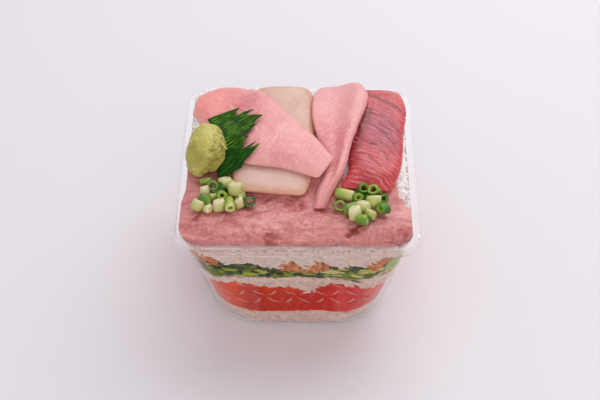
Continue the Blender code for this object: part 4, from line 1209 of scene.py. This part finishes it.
# Each cut piece: place in plan, height over the mince, radius, length, lean, heading and tone
ONIONS_LEFT = (
    (-45.2, -19.1, 0.0, 1.5, 4.6, 1.45, 1.7, 0.50), (-41.5, -24.0, 1.2, 2.6, 3.0, 0.85, 0.1, 0.22),
    (-40.2, -24.8, 0.2, 2.2, 3.2, 0.70, 0.6, 0.05), (-37.3, -24.4, 0.6, 2.4, 3.4, 1.20, 2.2, 0.08),
    (-35.3, -21.3, 0.8, 2.9, 4.6, -0.46, 0.3, 0.72), (-30.6, -25.4, 0.6, 3.1, 5.2, -0.50, -0.4, 0.74),
    (-36.6, -30.0, 1.6, 2.5, 3.2, 0.80, 0.0, 0.28), (-45.1, -26.8, 0.4, 1.9, 3.6, -0.53, 0.2, 0.90),
    (-44.7, -33.9, 1.4, 2.6, 4.6, 1.50, 1.3, 0.22), (-48.1, -36.4, 0.0, 2.5, 4.4, -0.71, -0.5, 0.74),
    (-43.2, -37.2, 0.2, 2.1, 3.6, 1.30, 0.9, 0.84), (-38.0, -36.1, 0.5, 2.5, 4.6, -0.43, 0.1, 0.80),
    (-32.6, -35.1, 1.2, 2.1, 8.0, 1.30, 0.1, 0.55), (-28.2, -32.4, 0.3, 2.2, 3.8, -0.53, 0.4, 0.84),
    (-32.7, -21.4, 0.3, 2.3, 4.0, -0.80, 0.9, 0.80), (-28.0, -27.4, 0.0, 2.1, 4.0, 1.30, -0.6, 0.64),
    (-23.2, -30.9, 0.0, 2.5, 4.4, 0.90, 0.2, 0.00), (-41.0, -28.9, -0.6, 2.0, 3.0, -0.48, 0.0, 0.60))
ONIONS_RIGHT = (
    (23.2, -26.8, 0.6, 2.6, 7.6, 1.50, 1.2, 0.62), (20.4, -33.8, 0.0, 2.7, 3.0, 0.75, -0.1, 0.25),
    (26.3, -37.2, 0.8, 2.4, 6.0, 1.50, 1.9, 0.30), (28.9, -29.4, 0.0, 2.5, 4.0, 0.80, 0.5, 0.24),
    (31.8, -24.5, 0.8, 2.7, 4.8, 0.50, 0.4, 0.12), (37.5, -25.9, 0.9, 2.6, 5.6, 0.60, -0.3, 0.34),
    (34.3, -28.4, -0.4, 2.2, 3.4, 1.20, 0.4, 0.15), (36.6, -34.2, 1.8, 3.0, 4.4, -0.71, -0.2, 0.66),
    (32.0, -37.2, 1.8, 2.7, 4.2, -0.57, 0.1, 0.80), (41.0, -29.7, 0.0, 2.3, 3.4, 0.80, 0.6, 0.08),
    (41.2, -38.6, 0.4, 2.6, 4.4, 1.10, -0.9, 0.15), (27.4, -42.2, 0.6, 2.7, 5.0, -0.53, 0.5, 0.86),
    (30.8, -46.6, 0.6, 2.4, 4.4, 1.20, 1.2, 0.34), (32.9, -43.2, 0.0, 1.9, 4.4, 1.30, 0.2, 0.06),
    (35.0, -42.6, 0.6, 2.4, 3.8, -0.61, 0.0, 0.55), (24.6, -37.4, -0.6, 2.0, 3.2, -0.57, 0.3, 0.45))


def tube_shape(radius, hole, length, skew):
    """A cut piece of stalk with softly rounded rims, open right through."""
    ring = []
    for n in range(TUBE_SECTION):
        angle = 2 * pi * n / TUBE_SECTION
        across, up = cos(angle), sin(angle)
        wide = (radius + hole) / 2 + (radius - hole) / 2 * max(-1, min(1, across * 1.25))
        ring.append((wide, length / 2 * max(-1, min(1, up * 1.25))))

    def place(u, v):
        wide, up = ring[round(v * TUBE_SECTION) % TUBE_SECTION]
        turn = 2 * pi * u
        wavy = wide * (1 + 0.07 * sin(3 * turn + radius * 9) + 0.05 * sin(5 * turn + length * 7))
        x, y = wavy * cos(turn), wavy * sin(turn)
        return Vector((x, y * 0.84, up + skew * x * (1 if up > 0 else 0.3)))

    return arrays(wrapped(TUBE_SIDES, TUBE_SECTION, place))


def make_onions():
    paint = toned_material("spring_onion", ((0.0, "1C3C04"), (0.22, "3C740A"), (0.45, "86A42A"),
                                            (0.7, "C2CA74"), (1.0, "E6DEB0")), 0.3, under=0.5, coat=0.2,
                           radius=(0.6, 1.0, 0.3), size=260.0, strength=0.15, vary=0.3, deep=0.003, sheen=0.5)
    grounds = [BVHTree.FromBMesh(mesh_of(node)) for node in ("minced_tuna", "akami_slice", "pale_slice")]
    for node, pieces in (("spring_onions_left", ONIONS_LEFT), ("spring_onions_right", ONIONS_RIGHT)):
        heap = Scatter()
        for number, (x, y, lift, radius, length, lean, heading, shade) in enumerate(pieces):
            hits = [tree.ray_cast(Vector((x, y, 150)), Vector((0, 0, -1)))[0] for tree in grounds]
            radius, length = radius * ONION_SIZE, length * ONION_SIZE
            rest = max(hit.z for hit in hits if hit)
            tall = abs(cos(lean)) * length / 2 + abs(sin(lean)) * radius
            place = (x, y, rest + tall + lift - ONION_SINK)
            turn = Euler((lean, 0.25 * sin(number * 2.3), heading))
            hole = radius * (0.42 + 0.14 * sin(number * 1.7) - 0.26 * smooth_step(0.4, 0.8, shade))
            skew = 0.45 * sin(number * 3.1)
            shape = tube_shape(radius, hole, length, skew)
            reach = np.hypot(shape[0][:, 0], shape[0][:, 1])
            inside = np.clip((radius - reach) / (radius - hole), 0, 1)
            along = shape[0][:, 2] / length
            tones = np.clip(shade + 0.25 * inside + (0.2 if shade > 0.4 else 0.05) * along, 0, 1)
            heap.add(shape, laid_flat(shape[0], place, turn), tones)
        heap.piece(node + "_rings", paint, [node], "spring_onion")


# Room, light and camera

FLOOR_HALF = 3.0
FLOOR_COLOUR = (0.80, 0.79, 0.83, 1)
SKY_COLOUR = (0.97, 0.96, 1.0, 1)
SKY_STRENGTH = 0.6
WINDOW_POWER = 9.3
FILL_POWER = 2.2


def make_room():
    floor = bmesh.new()
    bmesh.ops.create_grid(floor, x_segments=1, y_segments=1, size=FLOOR_HALF)
    paint, _, shader = new_material("floor", 0.55)
    shader.inputs["Base Color"].default_value = FLOOR_COLOUR
    mesh = bpy.data.meshes.new("floor")
    floor.to_mesh(mesh)
    floor.free()
    mesh.materials.append(paint)
    piece = bpy.data.objects.new("floor", mesh)
    bpy.context.scene.collection.objects.link(piece)


def area_light(name, place, target, size, power, colour):
    data = bpy.data.lights.new(name, "AREA")
    data.shape = "DISK"
    data.size = size
    data.energy = power
    data.color = colour
    lamp = bpy.data.objects.new(name, data)
    lamp.location = place
    way = Vector(target) - Vector(place)
    lamp.rotation_euler = way.to_track_quat("-Z", "Y").to_euler()
    bpy.context.scene.collection.objects.link(lamp)


def make_lights():
    world = bpy.data.worlds.new("studio")
    world.use_nodes = True
    back = world.node_tree.nodes["Background"]
    back.inputs["Color"].default_value = SKY_COLOUR
    back.inputs["Strength"].default_value = SKY_STRENGTH
    bpy.context.scene.world = world
    area_light("window", (0.35, 0.8, 1.0), (0, 0, 0.05), 1.5, WINDOW_POWER, (1.0, 0.99, 0.98))
    area_light("fill", (0.1, -0.75, 0.75), (0, 0, 0.04), 0.9, FILL_POWER, (1.0, 0.81, 0.76))
    bpy.context.scene.view_settings.view_transform = "Standard"


CAMERA_LENS = 72.86
CAMERA_DOWN = radians(45.49)
CAMERA_AWAY = 613.7
CAMERA_SHIFT = (-1.03, 18.13)
CAMERA_YAW = radians(0.38)


def make_camera():
    data = bpy.data.cameras.new("camera")
    data.lens = CAMERA_LENS
    data.sensor_width = 36.0
    camera = bpy.data.objects.new("camera", data)
    right = Vector((1, 0, 0))
    up = Vector((0, sin(CAMERA_DOWN), cos(CAMERA_DOWN)))
    ahead = Vector((0, cos(CAMERA_DOWN), -sin(CAMERA_DOWN)))
    place = Vector((0, 0, TUB_HEIGHT)) - right * CAMERA_SHIFT[0] - up * CAMERA_SHIFT[1] - ahead * CAMERA_AWAY
    yaw = Matrix.Rotation(CAMERA_YAW, 4, "Z")
    camera.location = yaw @ (place * MM)
    camera.rotation_euler = (pi / 2 - CAMERA_DOWN, 0, CAMERA_YAW)
    bpy.context.scene.collection.objects.link(camera)
    bpy.context.scene.camera = camera


make_camera()
make_lights()
make_room()
make_tub()
make_petals()
make_rice()
make_fish_layers()
make_greens()
make_flakes()
make_vegetable()
make_minced()
make_slices()
make_leaf()
make_wasabi()
make_onions()
